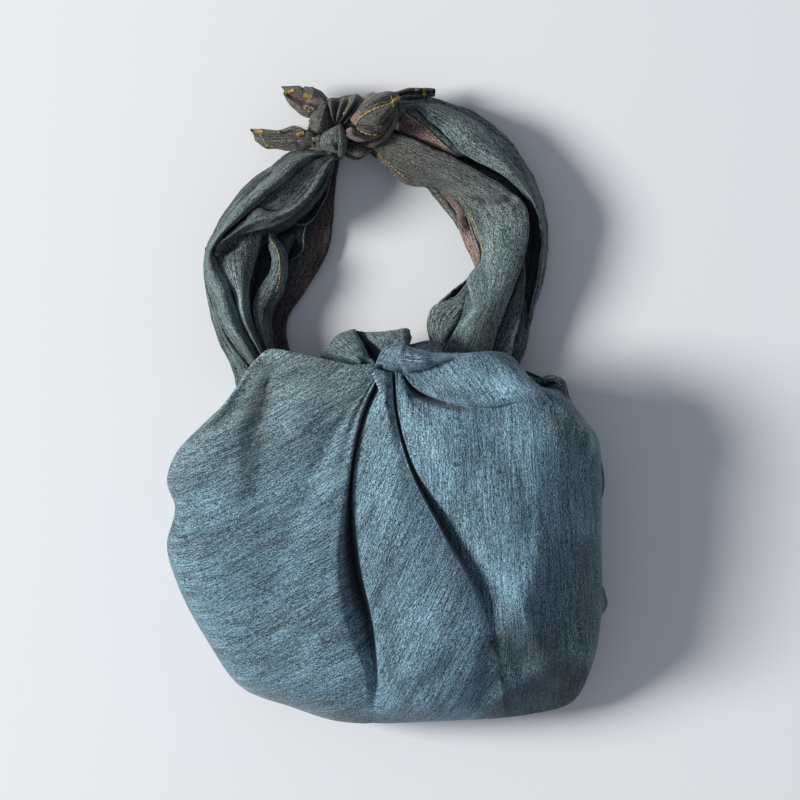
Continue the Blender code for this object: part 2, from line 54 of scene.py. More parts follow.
cloth = dict(
    size=0.9,                 # metres, each side of the square that was cut
    bagArea=0.192,
    thickness=0.0012,
)


# Pixels and mm of height to metres: the nearer to the camera, the larger a thing shows.
def placed(cells):
    cells = np.asarray(cells, float)
    height = cells[..., 2] * 0.001
    shrink = 1.0 - height / photoView["cameraHeight"]
    middle, origin = photoView["middle"], photoView["origin"]
    x = (cells[..., 0] - middle[0]) * shrink + middle[0] - origin[0]
    y = (cells[..., 1] - middle[1]) * shrink + middle[1] - origin[1]
    scale = photoView["metresPerPixel"]
    return np.stack((x * scale, -y * scale, height), axis=-1)


# The other way: the pixel that a point in metres is seen at.
def pictured(points):
    shrink = 1.0 - points[..., 2] / photoView["cameraHeight"]
    middle, origin = photoView["middle"], photoView["origin"]
    scale = photoView["metresPerPixel"]
    x = (points[..., 0] / scale + origin[0] - middle[0]) / shrink + middle[0]
    y = (-points[..., 1] / scale + origin[1] - middle[1]) / shrink + middle[1]
    return np.stack((x, y), axis=-1)


# 0 at low and 1 at high, level at both: 3 t^2 - 2 t^3.
def smooth(low, high, value):
    part = np.clip((value - low) / (high - low), 0.0, 1.0)
    return part * part * (3.0 - 2.0 * part)


# The same directions, each of length 1.
def unit(vectors):
    return vectors / np.maximum(np.linalg.norm(vectors, axis=-1, keepdims=True), 1e-12)


# Distance of each point of a line from its start.
def marksOf(line):
    return np.concatenate(([0.0], np.cumsum(np.linalg.norm(np.diff(line, axis=0), axis=-1))))


# Weights of a cubic curve through points at the given places: at each sample, two end points
# and two end slopes, where a slope leans to the nearer neighbour and shrinks at a sharp point.
def curveWeights(places, samples, sharp):
    count = len(places)
    gaps = np.diff(places)
    slopes = np.zeros((count, count))
    slopes[0, :2] = (-1 / gaps[0], 1 / gaps[0])
    slopes[-1, -2:] = (-1 / gaps[-1], 1 / gaps[-1])
    inner = np.arange(1, count - 1)
    before, after = gaps[:-1], gaps[1:]
    slopes[inner, inner - 1] = -after / (before * (before + after))
    slopes[inner, inner] = (after - before) / (before * after)
    slopes[inner, inner + 1] = before / (after * (before + after))
    slopes *= (1.0 - np.asarray(sharp, float))[:, None]
    first = np.clip(np.searchsorted(places, samples, side="right") - 1, 0, count - 2)
    gap = gaps[first]
    part = ((samples - places[first]) / gap)[:, None]
    ends = np.eye(count)
    return (
        (2 * part**3 - 3 * part**2 + 1) * ends[first]
        + (3 * part**2 - 2 * part**3) * ends[first + 1]
        + (part**3 - 2 * part**2 + part) * gap[:, None] * slopes[first]
        + (part**3 - part**2) * gap[:, None] * slopes[first + 1]
    )


# The smooth curve through a line's points, which are at the given marks, at each sample.
def curveAt(line, marks, samples):
    return curveWeights(marks, samples, np.zeros(len(marks))) @ line


# Places of the rows by the mean distance between neighbours, and samples about a step apart.
def spacing(points, step):
    gaps = np.maximum(np.linalg.norm(np.diff(points, axis=0), axis=-1).mean(axis=1), 1e-4)
    places = np.concatenate(([0.0], np.cumsum(gaps)))
    counts = np.maximum(1, np.round(gaps / np.broadcast_to(step, gaps.shape))).astype(int)
    samples = [places[i] + gaps[i] * np.arange(n) / n for i, n in enumerate(counts)]
    return places, np.concatenate(samples + [places[-1:]])


# A surface through a table of points: cubic across the rows and cubic along the columns. The
# row and column numbers of every sample come with it, so that a table's values can be read there.
def surfaceThrough(points, sharp, rowStep, columnStep, lowest):
    rowPlaces, rowSamples = spacing(points, rowStep)
    columnPlaces, columnSamples = spacing(points.transpose(1, 0, 2), columnStep)
    across = curveWeights(rowPlaces, rowSamples, sharp)
    along = curveWeights(columnPlaces, columnSamples, np.zeros(len(columnPlaces)))
    grid = np.einsum("ur,rcd,vc->uvd", across, points, along)
    grid[..., 2] = np.maximum(grid[..., 2], lowest)
    rows = np.interp(rowSamples, rowPlaces, np.arange(len(rowPlaces)))
    columns = np.interp(columnSamples, columnPlaces, np.arange(len(columnPlaces)))
    return grid, rows, columns


# A direction square to a grid at every point: the cross product of its two slopes.
def normalsOf(grid):
    return unit(np.cross(np.gradient(grid, axis=0), np.gradient(grid, axis=1)))


# Uneven cloth: the mean of many sine waves with random directions, about one wavelength long.
def unevenness(points, wavelength, seed, stretch=1.0, waves=24):
    draw = np.random.default_rng(seed)
    angle = draw.uniform(0, 2 * math.pi, waves)
    pitch = 2 * math.pi / (wavelength * draw.uniform(0.7, 1.5, waves))
    phase = draw.uniform(0, 2 * math.pi, waves)
    total = np.zeros(points.shape[:-1])
    for turn, rate, start in zip(angle, pitch, phase):
        total += np.sin(rate * (points[..., 0] / stretch * math.cos(turn) + points[..., 1] * math.sin(turn)) + start)
    return total * math.sqrt(2.0 / waves)


# How far places are from a straight piece of line: its way, the offsets from its start, the
# share of it that each place is beside, and the distance.
def besideSegment(places, start, end):
    way, offset = end - start, places - start
    part = np.clip((offset @ way) / (way @ way), 0, 1)
    return way, offset, part, np.linalg.norm(offset - part[..., None] * way, axis=-1)


# How near each pixel place is to a drawn line: its distance, the side that it is on (positive
# to the right of the way the line runs, as seen) and its share of the way along the line.
def alongLine(places, line):
    line = np.asarray(line, float)
    marks = marksOf(line)
    line = curveAt(line, marks, np.linspace(0, marks[-1], 6 * (len(line) - 1) + 1))
    best = np.full(places.shape[:-1], np.inf)
    side, share = np.zeros((2, *best.shape))
    for index, (start, end) in enumerate(zip(line[:-1], line[1:])):
        way, offset, part, distance = besideSegment(places, start, end)
        nearer = distance < best
        best = np.where(nearer, distance, best)
        turn = way[0] * offset[..., 1] - way[1] * offset[..., 0]
        side = np.where(nearer, np.sign(turn), side)
        share = np.where(nearer, (index + part) / (len(line) - 1), share)
    return best, side, share


# A soft fold: a bell across its line, exp(-(distance / width)^2), as wide on either side as
# asked, that fades over the asked shares of its length at its ends.
def foldAlong(places, line, left, right, ends):
    distance, side, share = alongLine(places, line)
    bell = np.exp(-((distance / np.where(side > 0, right, left)) ** 2))
    for fade, way in zip(ends, (share, 1 - share)):
        if fade:
            bell *= smooth(0, fade, way)
    return bell


# A bell over an ellipse of pixels: exp(-(dx / half width)^2 - (dy / half height)^2).
def ellipseAt(places, x, y, wide, high):
    return np.exp(-((places[..., 0] - x) / wide) ** 2 - ((places[..., 1] - y) / high) ** 2)


# 1 inside a closed outline of pixels and 0 outside, with a soft edge a few pixels wide.
def insideOutline(places, outline, edge=1.5):
    outline = np.asarray(outline, float)
    crossings = np.zeros(places.shape[:-1], int)
    nearest = np.full(places.shape[:-1], np.inf)
    for start, end in zip(outline, np.roll(outline, -1, axis=0)):
        way, _, _, distance = besideSegment(places, start, end)
        nearest = np.minimum(nearest, distance)
        spans = (start[1] > places[..., 1]) != (end[1] > places[..., 1])
        reach = start[0] + (places[..., 1] - start[1]) * way[0] / (way[1] or 1e-9)
        crossings += spans & (places[..., 0] < reach)
    return smooth(-edge, edge, np.where(crossings % 2 == 1, nearest, -nearest))


# ---- materials

cottonLook = dict(
    blue=(0.086, 0.165, 0.213, 1.0),
    greyGreen=(0.092, 0.132, 0.134, 1.0),
    brownGrey=(0.074, 0.073, 0.066, 1.0),
    wrongBlue=(0.190, 0.160, 0.160, 1.0),
    wrongBrown=(0.175, 0.122, 0.112, 1.0),
    paleYarn=(0.47, 0.55, 0.585, 1.0),
    darkYarn=(0.018, 0.035, 0.048, 1.0),
    paleBrownYarn=(0.22, 0.23, 0.21, 1.0),
    darkBrownYarn=(0.020, 0.022, 0.020, 1.0),
    surface={"Roughness": 0.86, "Specular IOR Level": 0.25, "Sheen Weight": 0.12, "Sheen Roughness": 0.5},
    bump={"Strength": 0.8, "Distance": 0.0005},
    # each noise's length and width in mm, its detail, its roughness and where it starts
    noises=dict(
        clouds=(80.0, 30.0, 3.0, 0.5, 3.1), patches=(26.0, 5.0, 3.0, 0.6, 7.7), streaks=(3.2, 0.62, 2.0, 0.65, 1.3),
        flecks=(0.9, 0.55, 1.0, 0.6, 4.6), crossFlecks=(0.55, 1.2, 1.0, 0.5, 5.9), ribs=(24.0, 1.1, 2.0, 0.6, 2.2),
        slubs=(30.0, 0.9, 1.0, 0.5, 9.2),
    ),
    grain=dict(streaks=0.32, flecks=0.30, crossFlecks=0.20, ribs=0.18),
    cloudShare=0.34,
    patchShare=0.44,
    leastShade=0.58,
    grainShade=(0.41, 0.59, 0.04, 1.96),    # the grain from and to, and its shade there
    paleShare=(0.52, 0.63, 0.0, 0.6),       # the grain from and to, and the share of pale yarn
    darkShare=(0.36, 0.28, 0.0, 0.45),      # the slubs from and to, and the share of dark yarn
    slubHeight=0.4,
)
threadLook = dict(
    colour=(0.60, 0.42, 0.10, 1.0), shadow=(0.36, 0.22, 0.05, 1.0),
    noise={"Scale": 900.0}, surface={"Roughness": 0.6},
)
floorLook = dict(
    colour=(0.80, 0.81, 0.83, 1.0), fibreShade=0.97, size=6.0,
    noise={"Scale": 420.0, "Detail": 4.0}, surface={"Roughness": 0.9, "Specular IOR Level": 0.2},
)


def newMaterial(name, values):
    material = bpy.data.materials.new(name)
    material.use_nodes = True
    surface = material.node_tree.nodes["Principled BSDF"]
    setInputs(surface, values)
    return material, material.node_tree, surface


def setInputs(node, values):
    for name, value in values.items():
        node.inputs[name].default_value = value


# A node whose sockets, counted from 0, are fed by other nodes or are set.
def addNode(tree, kind, sockets=(), **settings):
    node = tree.nodes.new(kind)
    for name, value in settings.items():
        setattr(node, name, value)
    for index, value in dict(sockets).items():
        if isinstance(value, bpy.types.NodeSocket):
            tree.links.new(value, node.inputs[index])
        else:
            node.inputs[index].default_value = value
    return node


def math2(tree, operation, first, second):
    return addNode(tree, "ShaderNodeMath", {0: first, 1: second}, operation=operation).outputs[0]


# The sum of each value times its weight.
def weighted(tree, pairs):
    terms = [math2(tree, "MULTIPLY", value, weight) for value, weight in pairs]
    total = terms[0]
    for term in terms[1:]:
        total = math2(tree, "ADD", total, term)
    return total


def mixColour(tree, factor, first, second, blend="MIX"):
    sockets = {0: factor, 6: first, 7: second}
    return addNode(tree, "ShaderNodeMix", sockets, data_type="RGBA", blend_type=blend).outputs[2]


# A value from low to high becomes start to end, smoothly or in a straight line.
def ramp(tree, value, low, high, start=0.0, end=1.0, kind="SMOOTHSTEP"):
    sockets = dict(enumerate((value, low, high, start, end)))
    return addNode(tree, "ShaderNodeMapRange", sockets, interpolation_type=kind).outputs[0]


# Noise on the weave's own coordinates, in mm: long along the yarn and narrow across it.
def yarnNoise(tree, weave, length, width, detail, roughness, offset):
    mapping = addNode(tree, "ShaderNodeMapping", {0: weave})
    setInputs(mapping, {"Location": (offset, offset * 0.7, 0.0), "Scale": (1000.0 / length, 1000.0 / width, 1.0)})
    noise = addNode(tree, "ShaderNodeTexNoise", {0: mapping.outputs[0]}, noise_dimensions="2D")
    setInputs(noise, {"Scale": 1.0, "Detail": detail, "Roughness": roughness})
    return noise.outputs["Fac"]


# Noise in the object's own space.
def objectNoise(tree, values):
    noise = addNode(tree, "ShaderNodeTexNoise", {0: addNode(tree, "ShaderNodeTexCoord").outputs["Object"]})
    setInputs(noise, values)
    return noise.outputs["Fac"]


# Dyed cotton: the colour runs from blue to grey green to brown grey with the attribute dye, pale
# and dark yarns lie along the weave; the wrong side, read from wrongSide, or from lining for
# the inner wall, is pinkish brown. The attribute shade multiplies in painted light and shade.
def clothMaterial(name, wrongFrom):
    look = cottonLook
    material, tree, surface = newMaterial(name, look["surface"])
    weave = addNode(tree, "ShaderNodeUVMap", uv_map="weave").outputs[0]
    dye, wrong, fadeAndPaintedLight = (
        addNode(tree, "ShaderNodeAttribute", attribute_name=attribute).outputs["Fac"]
        for attribute in ("dye", wrongFrom, "shade")
    )
    noise = {name: yarnNoise(tree, weave, *values) for name, values in look["noises"].items()}

    right = mixColour(tree, ramp(tree, dye, 0.0, 0.5), look["blue"], look["greyGreen"])
    right = mixColour(tree, ramp(tree, dye, 0.5, 1.0), right, look["brownGrey"])
    back = mixColour(tree, ramp(tree, dye, 0.1, 0.7), look["wrongBlue"], look["wrongBrown"])
    base = mixColour(tree, wrong, right, back)
    grain = weighted(tree, [(noise[name], share) for name, share in look["grain"].items()])
    blots = weighted(tree, [(ramp(tree, noise["clouds"], 0.3, 0.7), look["cloudShare"]),
                            (ramp(tree, noise["patches"], 0.3, 0.7), look["patchShare"])])
    shade = math2(tree, "MULTIPLY", math2(tree, "ADD", blots, look["leastShade"]),
                  ramp(tree, grain, *look["grainShade"], kind="LINEAR"))
    base = mixColour(tree, 1.0, base, shade, blend="MULTIPLY")
    turned = ramp(tree, dye, 0.2, 0.9)
    pale = mixColour(tree, turned, look["paleYarn"], look["paleBrownYarn"])
    base = mixColour(tree, ramp(tree, grain, *look["paleShare"]), base, pale)
    dark = mixColour(tree, turned, look["darkYarn"], look["darkBrownYarn"])
    base = mixColour(tree, ramp(tree, noise["slubs"], *look["darkShare"]), base, dark)
    # the attribute shade: painted light and shade, with some fading, multiplied into the colour
    tree.links.new(mixColour(tree, 1.0, base, fadeAndPaintedLight, blend="MULTIPLY"), surface.inputs["Base Color"])

    bump = addNode(tree, "ShaderNodeBump")
    setInputs(bump, look["bump"])
    height = math2(tree, "ADD", grain, math2(tree, "MULTIPLY", noise["slubs"], look["slubHeight"]))
    tree.links.new(height, bump.inputs["Height"])
    tree.links.new(bump.outputs[0], surface.inputs["Normal"])
    return material


# Topstitch thread: two shades of yellow twisted along each stitch.
def threadMaterial():
    material, tree, surface = newMaterial("YellowTopstitch", threadLook["surface"])
    twist = ramp(tree, objectNoise(tree, threadLook["noise"]), 0.4, 0.6)
    colour = mixColour(tree, twist, threadLook["shadow"], threadLook["colour"])
    tree.links.new(colour, surface.inputs["Base Color"])
    return material


def floorMaterial():
    material, tree, surface = newMaterial("PalePaper", floorLook["surface"])
    colour = floorLook["colour"]
    darker = (*(floorLook["fibreShade"] * part for part in colour[:3]), 1.0)
    fibre = mixColour(tree, objectNoise(tree, floorLook["noise"]), darker, colour)
    tree.links.new(fibre, surface.inputs["Base Color"])
    return material


rightSide = clothMaterial("DyedCotton", "wrongSide")
wrongSide = clothMaterial("DyedCottonWrongSide", "lining")
thread = threadMaterial()
print("materials made")


# ---- making pieces

def newPiece(name, points, faces, *materials):
    mesh = bpy.data.meshes.new(name)
    mesh.from_pydata(points, [], faces)
    mesh.update()
    mesh.shade_smooth()
    for material in materials:
        mesh.materials.append(material)
    piece = bpy.data.objects.new(name, mesh)
    bpy.context.scene.collection.objects.link(piece)
    return piece


# The weave as a UV map in metres, and the values that the material reads, one to each point.
def addValues(piece, weave, **values):
    mesh = piece.data
    loops = np.zeros(len(mesh.loops), np.int32)
    mesh.loops.foreach_get("vertex_index", loops)
    layer = mesh.uv_layers.new(name="weave")
    layer.data.foreach_set("uv", weave.reshape(-1, 2)[loops].astype(np.float32).ravel())
    for name, value in values.items():
        data = mesh.attributes.new(name, "FLOAT", "POINT").data
        data.foreach_set("value", (np.zeros(len(mesh.vertices)) + np.ravel(value)).astype(np.float32))


# Quads of rings of points, from each ring to the next.
def ringQuads(rings, sides):
    corner = np.arange(rings * sides).reshape(rings, sides)
    following = np.roll(corner, -1, axis=1)
    return corner, np.stack((corner[:-1], following[:-1], following[1:], corner[1:]), axis=-1).reshape(-1, 4)


# Directions square to the way ahead: to its side, level, and up from it.
def besideAndUp(ahead):
    side = unit(np.cross(ahead, (0.0, 0.0, 1.0)))
    return side, np.cross(side, ahead)


# A grid of points becomes cloth: quads turned to face outwards, and a wall of the cloth's
# thickness inside them. A lined piece has its inner wall in the wrong side's material.
def clothPiece(name, grid, weave, **values):
    rows, columns = grid.shape[:2]
    corner = np.arange(rows * columns).reshape(rows, columns)
    quads = np.stack((corner[:-1, :-1], corner[1:, :-1], corner[1:, 1:], corner[:-1, 1:]), axis=-1).reshape(-1, 4)
    lined = "lining" in values
    piece = newPiece(name, grid.reshape(-1, 3), quads, *((rightSide, wrongSide) if lined else (rightSide,)))
    addValues(piece, weave, **values)
    wall = piece.modifiers.new("Cloth", "SOLIDIFY")
    wall.thickness = cloth["thickness"]
    wall.offset = -1.0
    wall.use_rim = True
    wall.material_offset = int(lined)
    wall.material_offset_rim = 0
    return piece


# Distances over the cloth, in metres: across the rows and along the columns.
def weaveOf(grid):
    across, along = (
        np.concatenate(([0.0], np.cumsum(np.linalg.norm(np.diff(grid, axis=axis), axis=-1).mean(axis=1 - axis))))
        for axis in (0, 1)
    )
    return np.stack(np.broadcast_arrays(along[None, :], across[:, None]), axis=-1)


# ---- the bag

bagShape = dict(
    knotHeight=76.0,          # mm, where the pleats of the front gather
    stations=(0.0, 0.12, 0.3, 0.5, 0.7, 0.86, 0.96, 1.0),
    turns=(30.0, 60.0, 90.0),
    backShares=(0.4, 0.75, 1.0),
    sideInset=26.0,
    crownShare=0.3,
    domePower=0.55,
    mouthSharp=0.3,
    frontStep=0.0024,
    backStep=0.005,
    fanStep=0.0018,
    creaseStep=0.0007,        # from one row to the next beside a crease
    roughness=0.00035,
    # wavelength, seed, stretch along X and share of the roughness
    waves=((0.045, 11, 1.6, 1.0), (0.014, 12, 1.8, 0.45)),
    # soft folds and unevenness end at these columns and rows, and where the cloth turns down
    knotColumns=(0.0, 1.2),
    sideColumns=(9.2, 7.2),
    endRows=(0.2, 1.2),
    level=(0.25, 0.7),
    # the weave is unrolled from the first column, in the direction of the second
    unrollColumns=(4.0, 7.0),
    jointHeight=90.0,
    paintedShadeColumns=9.5,           # the painted shade and highlights of the outlines end here
    # the hollow beside the petal, darkened with painted shade, where the inner wall shows no wrong side
    cup=((520, 370), (575, 370), (580, 400), (560, 398), (545, 392), (528, 384)),
    cupEdge=2.0,
    cupPaintedShade=0.85,
    cupColumns=(7.0, 7.6),
    liningColumns=(3.0, 9.0),
    # painted crease shade: how much darker the cloth is painted in a crease, and the column where that has ended
    paintedCreaseShades=(("leftHollow", 0.62, 5.2), ("rightCrease", 0.66, 4.4), ("petalCrease", 0.74, 3.1)),
    creaseWidth=0.5,
    creaseFade=1.6,
)
# How far the dye of the bag has turned, and from and to where in metres: in the upper left, to
# the top, and at the right side, where the greyer turn is painted shade colour for the flank in shade.
bagDye = dict(
    upperLeft=0.26, upperLeftX=(0.03, -0.04), upperLeftY=(-0.14, 0.02), top=0.10, topY=(-0.05, 0.03),
    rightSide=0.20, rightSideX=(0.10, 0.13),
)

# One row for each fold line of the front, from the mouth's left end round to its right end: the
# stretch of cloth that it belongs to; the height in mm where it passes over the side, and at
# its crown; how far out the top stays level; how sharp it is; the mm that it lies under the
# panels at each station; and its way in pixels from the knot to the side.
bagFolds = dict(
    leftShoulder=("left", 40, 80, 3.0, 0.0, (0, 0, 0, 1, 9, 1, 0, 0),
        ((377.5, 367), (333, 368), (288, 370), (263, 377), (246, 386), (229, 399), (222, 406))),
    leftValley=("left", 42, 82, 3.0, 0.0, (0, 0, 1, 3, 10, 1, 0, 0),
        ((378.5, 368.5), (333, 377), (286, 387), (258, 398), (237, 409), (212, 421), (200, 427))),
    leftUpper=("left", 44, 88, 3.0, 0.0, (0, 0, 0, 0, 3, 5, 0, 0),
        ((379.5, 370.0), (334, 384), (284, 401), (250, 414), (216, 431), (190, 445), (175, 455))),
    leftElbow=("left", 46, 92, 3.2, 0.0, (0, 0, 0, 0, 0, 0, 0, 0),
        ((379.5, 370.0), (335.5, 390), (286, 413), (247, 433), (210, 454), (183, 471), (167, 482))),
    leftNotch=("left", 46, 94, 3.0, 0.0, (0, 0, 0, 0, 0, 0, 0, 0),
        ((379.5, 370.0), (337.5, 395), (289, 423), (248, 448), (213, 474), (189, 494), (175, 507))),
    leftSecond=("left", 44, 95, 3.2, 0.0, (0, 0, 0, 0, 0, 0, 0, 0),
        ((379.5, 370.0), (339.5, 399), (293, 433), (252, 466), (214, 500), (185, 528), (167, 545))),
    leftWaist=("left", 44, 95, 3.2, 0.0, (0, 0, 0, 0, 0, 0, 0, 0),
        ((379.5, 370.0), (342.5, 403), (299, 446), (259, 488), (222, 534), (194, 567), (178, 585))),
    leftLower=("left", 42, 95, 3.0, 0.0, (0, 0, 0, 0, 0, 0, 0, 0),
        ((379.5, 370.0), (346, 406.5), (308, 459), (272, 514), (242, 577), (219, 617), (207, 640))),
    leftCorner=("left", 38, 94, 3.0, 0.0, (0, 0, 0, 0, 0, 0, 0, 0),
        ((379.5, 370.0), (350, 409), (318, 470), (290, 537), (270, 609), (252, 657), (243, 688))),
    leftBase=("left", 36, 96, 3.4, 0.0, (0, 0, 0, 0, 0, 0, 0, 0),
        ((379.5, 370.0), (354, 411), (328, 477), (308, 551), (299, 624), (291, 675), (292, 707))),
    leftPanel=("left", 36, 98, 4.0, 0.0, (0, 2, 1, 0, 0, 0, 0, 0),
        ((380, 370.5), (358, 412.5), (338, 481), (325, 558), (324, 626), (326, 681), (333, 720))),
    leftLip=("left", 36, 97, 4.2, 0.5, (0, 1, 1, 0, 0, 0, 0, 0),
        ((380.5, 371.5), (361.5, 413), (348, 482), (340.5, 560), (347.5, 625), (365, 678), (362, 723))),
    leftHollow=("left", 36, 97, 4.2, 0.5, (16, 14, 22, 38, 21, 7, 1, 0),
        ((382.5, 373), (364.5, 414), (350.5, 484), (354, 561), (370, 626), (376, 680), (373, 722.5))),
    wedgeLeft=("wedge", 36, 97, 4.2, 0.7, (5, 4, 6, 7, 6, 3, 0, 0),
        ((384.5, 374), (367.5, 415), (353.5, 485), (360, 562), (374.5, 627), (380, 681), (386, 723))),
    wedgeMiddle=("wedge", 36, 100, 4.4, 0.0, (1, -1, 1, 1, 1, 0, -2, -2),
        ((388, 373), (384, 415), (386, 490), (402, 565), (418, 630), (423, 685), (425, 721.5))),
    wedgeRim=("wedge", 36, 99, 4.4, 0.3, (0, 0.5, 0.5, -1, -2, -1, 2, 0),
        ((379.5, 370.0), (391.8, 413), (408, 474), (438.5, 535), (471.5, 594), (491.5, 649), (500, 717))),
    wedgeRight=("wedge", 36, 99, 4.4, 0.8, (1, 1.5, 1, -0.5, -1, 0, 2, 0),
        ((391.5, 373), (394.5, 413), (411, 473), (442, 533), (475, 592), (495, 648), (505, 716.5))),
    rightCrease=("right", 36, 99, 4.4, 0.5, (14, 13, 13, 11, 9, 1, 6, 6),
        ((393.2, 373.5), (396.5, 412), (413.3, 471.7), (444.6, 531.5), (477.8, 590.6), (498, 646.5), (518, 715))),
    rightLip=("right", 36, 99, 4.4, 0.6, (0, 2, 3, 5, 4, -1, 10, 10),
        ((395.5, 372), (398.4, 411.7), (416.5, 470.3), (456, 527), (494, 585), (513, 642), (530, 713))),
    rightCorner=("right", 34, 101, 5.0, 0.0, (0, 0, 1, 2, 2, 0, 18, 8),
        ((397, 371.5), (402.5, 410.5), (425, 466), (468, 522), (506, 583), (540, 645), (572, 701))),
    rightLower=("right", 42, 102, 5.0, 0.0, (0, 0, 1, 2, 1, 7, 8, 0),
        ((398, 371.5), (404.5, 408.5), (430, 461), (473, 515), (513, 569), (552, 618), (593, 660))),
    rightWaist=("right", 44, 103, 5.0, 0.0, (0, 0, 1, 2, 0, 8, 8, 0),
        ((399, 371.5), (406, 406), (433.5, 453), (475, 498), (516, 542), (560, 577), (601, 610))),
    rightPanel=("right", 46, 103, 5.0, 0.0, (0, 0, 1, 2, -1, 8, 7, 0),
        ((399.5, 372), (407.5, 403.5), (436.5, 443), (477, 477), (520, 505), (564, 527), (601, 545))),
    rightUpper=("right", 48, 101, 4.6, 0.0, (0, 0, 1, 2, -1, 6, 5, 0),
        ((400, 372), (408.8, 400.5), (439, 431), (480, 450), (525, 463), (568, 475), (601, 485))),
    rightShoulder=("right", 50, 96, 4.4, 0.0, (0, 0, 1, 2, -2, -4, -6, 0),
        ((400.5, 372.5), (410, 397.5), (441, 418.5), (483, 428), (527, 426), (567, 430), (597, 437))),
    petalBed=("right", 51, 92, 4.4, 0.1, (3, 3, 3, 1, -2, -4, -8, 0),
        ((401, 373.5), (412, 393.5), (442.5, 408), (485, 415), (524, 412), (557, 415), (588, 424))),
    petalCrease=("right", 53, 91, 4.4, 0.5, (14, 13, 14, 4, -2, -4, -8, 0),
        ((401.8, 374), (413, 388), (443.8, 401.6), (485.5, 408.4), (521, 404), (550, 406), (581, 415))),
    petalLip=("petal", 54, 91, 4.4, 0.5, (0, -1, -2, -2, -3, -4, -7, 0),
        ((402.5, 373), (414.5, 386.5), (445.5, 400.5), (486, 406.5), (521, 401), (548, 402), (576, 409))),
    petalMiddle=("petal", 56, 92, 4.4, 0.0, (0, 2, 2, -2, -7, -8, -3, 0),
        ((403, 371), (416, 378), (448, 380), (487, 382), (521, 386), (548, 392), (568, 393))),
    petalTop=("petal", 56, 86, 4.4, 0.5, (0, 2, 0, -4, -6, -6, -2, 0),
        ((403, 368.5), (417, 368.5), (442, 361.5), (479, 354.5), (520, 371), (546, 389), (565, 386))),
)

# The mouth's two ends run from the knot along the front edge and down to the back, so their
# cells are given whole: the front stations, then the tuck, then the back.
mouthLeft = (
    (378, 365, 77), (362, 366, 77), (330, 360, 74), (298, 353, 70), (270, 349, 65), (256, 359, 60), (247, 370, 54),
    (239, 383, 46), (241, 382, 26), (244, 380, 8), (247, 378, 0), (255, 374, 0), (261, 370.5, 0), (265, 368, 0),
)
mouthRight = (
    (404, 353, 80), (424, 352, 80), (458, 353, 80), (506, 353, 79), (530, 377, 76), (544, 387, 72), (555, 384, 68),
    (562, 381, 60), (559.5, 381.5, 38), (554, 382, 13), (546, 383, 0), (533, 380, 0), (521, 372, 0), (511, 366, 0),
)
backEdge = ((265, 368), (290, 363), (345, 359), (395, 350), (430, 341), (470, 346), (511, 366))

# The way that the yarn runs on each panel, in degrees, and where two panels' weaves meet, in
# pixels: at the lower ends of the creases.
panelWeave = dict(left=27.0, wedge=66.0, right=93.0, petal=125.0)
weaveJoints = (("left", "wedge", (374, 690)), ("wedge", "right", (500, 640)), ("right", "petal", (540, 402)))
# How fast the left panel's yarn steepens to the right, per metre, and from where.
leftWeave = dict(turn=1.1, start=-0.09)

# Soft folds of the front: line in pixels, height in mm, width in pixels to the left and to the
# right of it, and the shares of its length over which its two ends fade.
bagSoftFolds = (
    (((269, 354), (264, 378), (259, 402), (251, 437), (244, 470)), -8.0, 7, 17, (0.03, 0.5)),
    (((252, 366), (247, 388), (237, 415), (222, 447)), 2.5, 14, 7, (0.1, 0.4)),
    (((176, 507), (183, 525), (189, 550), (190, 585), (193, 620)), -2.2, 6, 5, (0.05, 0.4)),
    (((174, 470), (200, 480), (235, 478)), 1.5, 14, 12, (0.2, 0.5)),
    (((236, 684), (262, 660), (292, 636), (310, 610)), 1.5, 10, 14, (0.1, 0.5)),
    (((523, 418), (531, 450), (538, 500), (540, 540), (534, 570), (524, 598)), 2.6, 30, 9, (0.2, 0.12)),
    (((463, 722), (480, 708), (510, 690), (540, 672), (562, 655)), 1.0, 12, 14, (0.2, 0.3)),
    (((468, 706), (490, 692), (518, 672)), -2.0, 12, 6, (0.25, 0.3)),
    (((498, 630), (490, 655), (482, 690), (474, 712)), -3.0, 12, 9, (0.15, 0.15)),
    (((400, 706), (425, 690), (452, 668), (468, 640)), -2.0, 12, 12, (0.2, 0.3)),
    (((352, 690), (372, 682), (392, 690)), -1.2, 6, 8, (0.3, 0.3)),
    (((430, 640), (448, 610), (455, 570)), 1.2, 12, 12, (0.3, 0.3)),
    (((440, 420), (448, 460), (462, 500)), 1.0, 9, 14, (0.3, 0.3)),
    (((383, 560), (387, 600), (394, 650), (399, 684)), -1.6, 6, 8, (0.3, 0.3)),
    (((498, 412), (505, 450), (508, 500)), -1.0, 12, 10, (0.3, 0.3)),
    (((570, 414), (577, 440), (582, 470), (586, 510)), -2.2, 8, 6, (0.2, 0.4)),
    (((560, 384), (565, 396), (571, 412)), 1.8, 5, 6, (0.2, 0.3)),
    (((570, 470), (575, 530), (572, 590)), 1.0, 10, 10, (0.3, 0.3)),
    (((440, 372), (470, 372), (500, 380)), 1.2, 9, 9, (0.3, 0.3)),
)
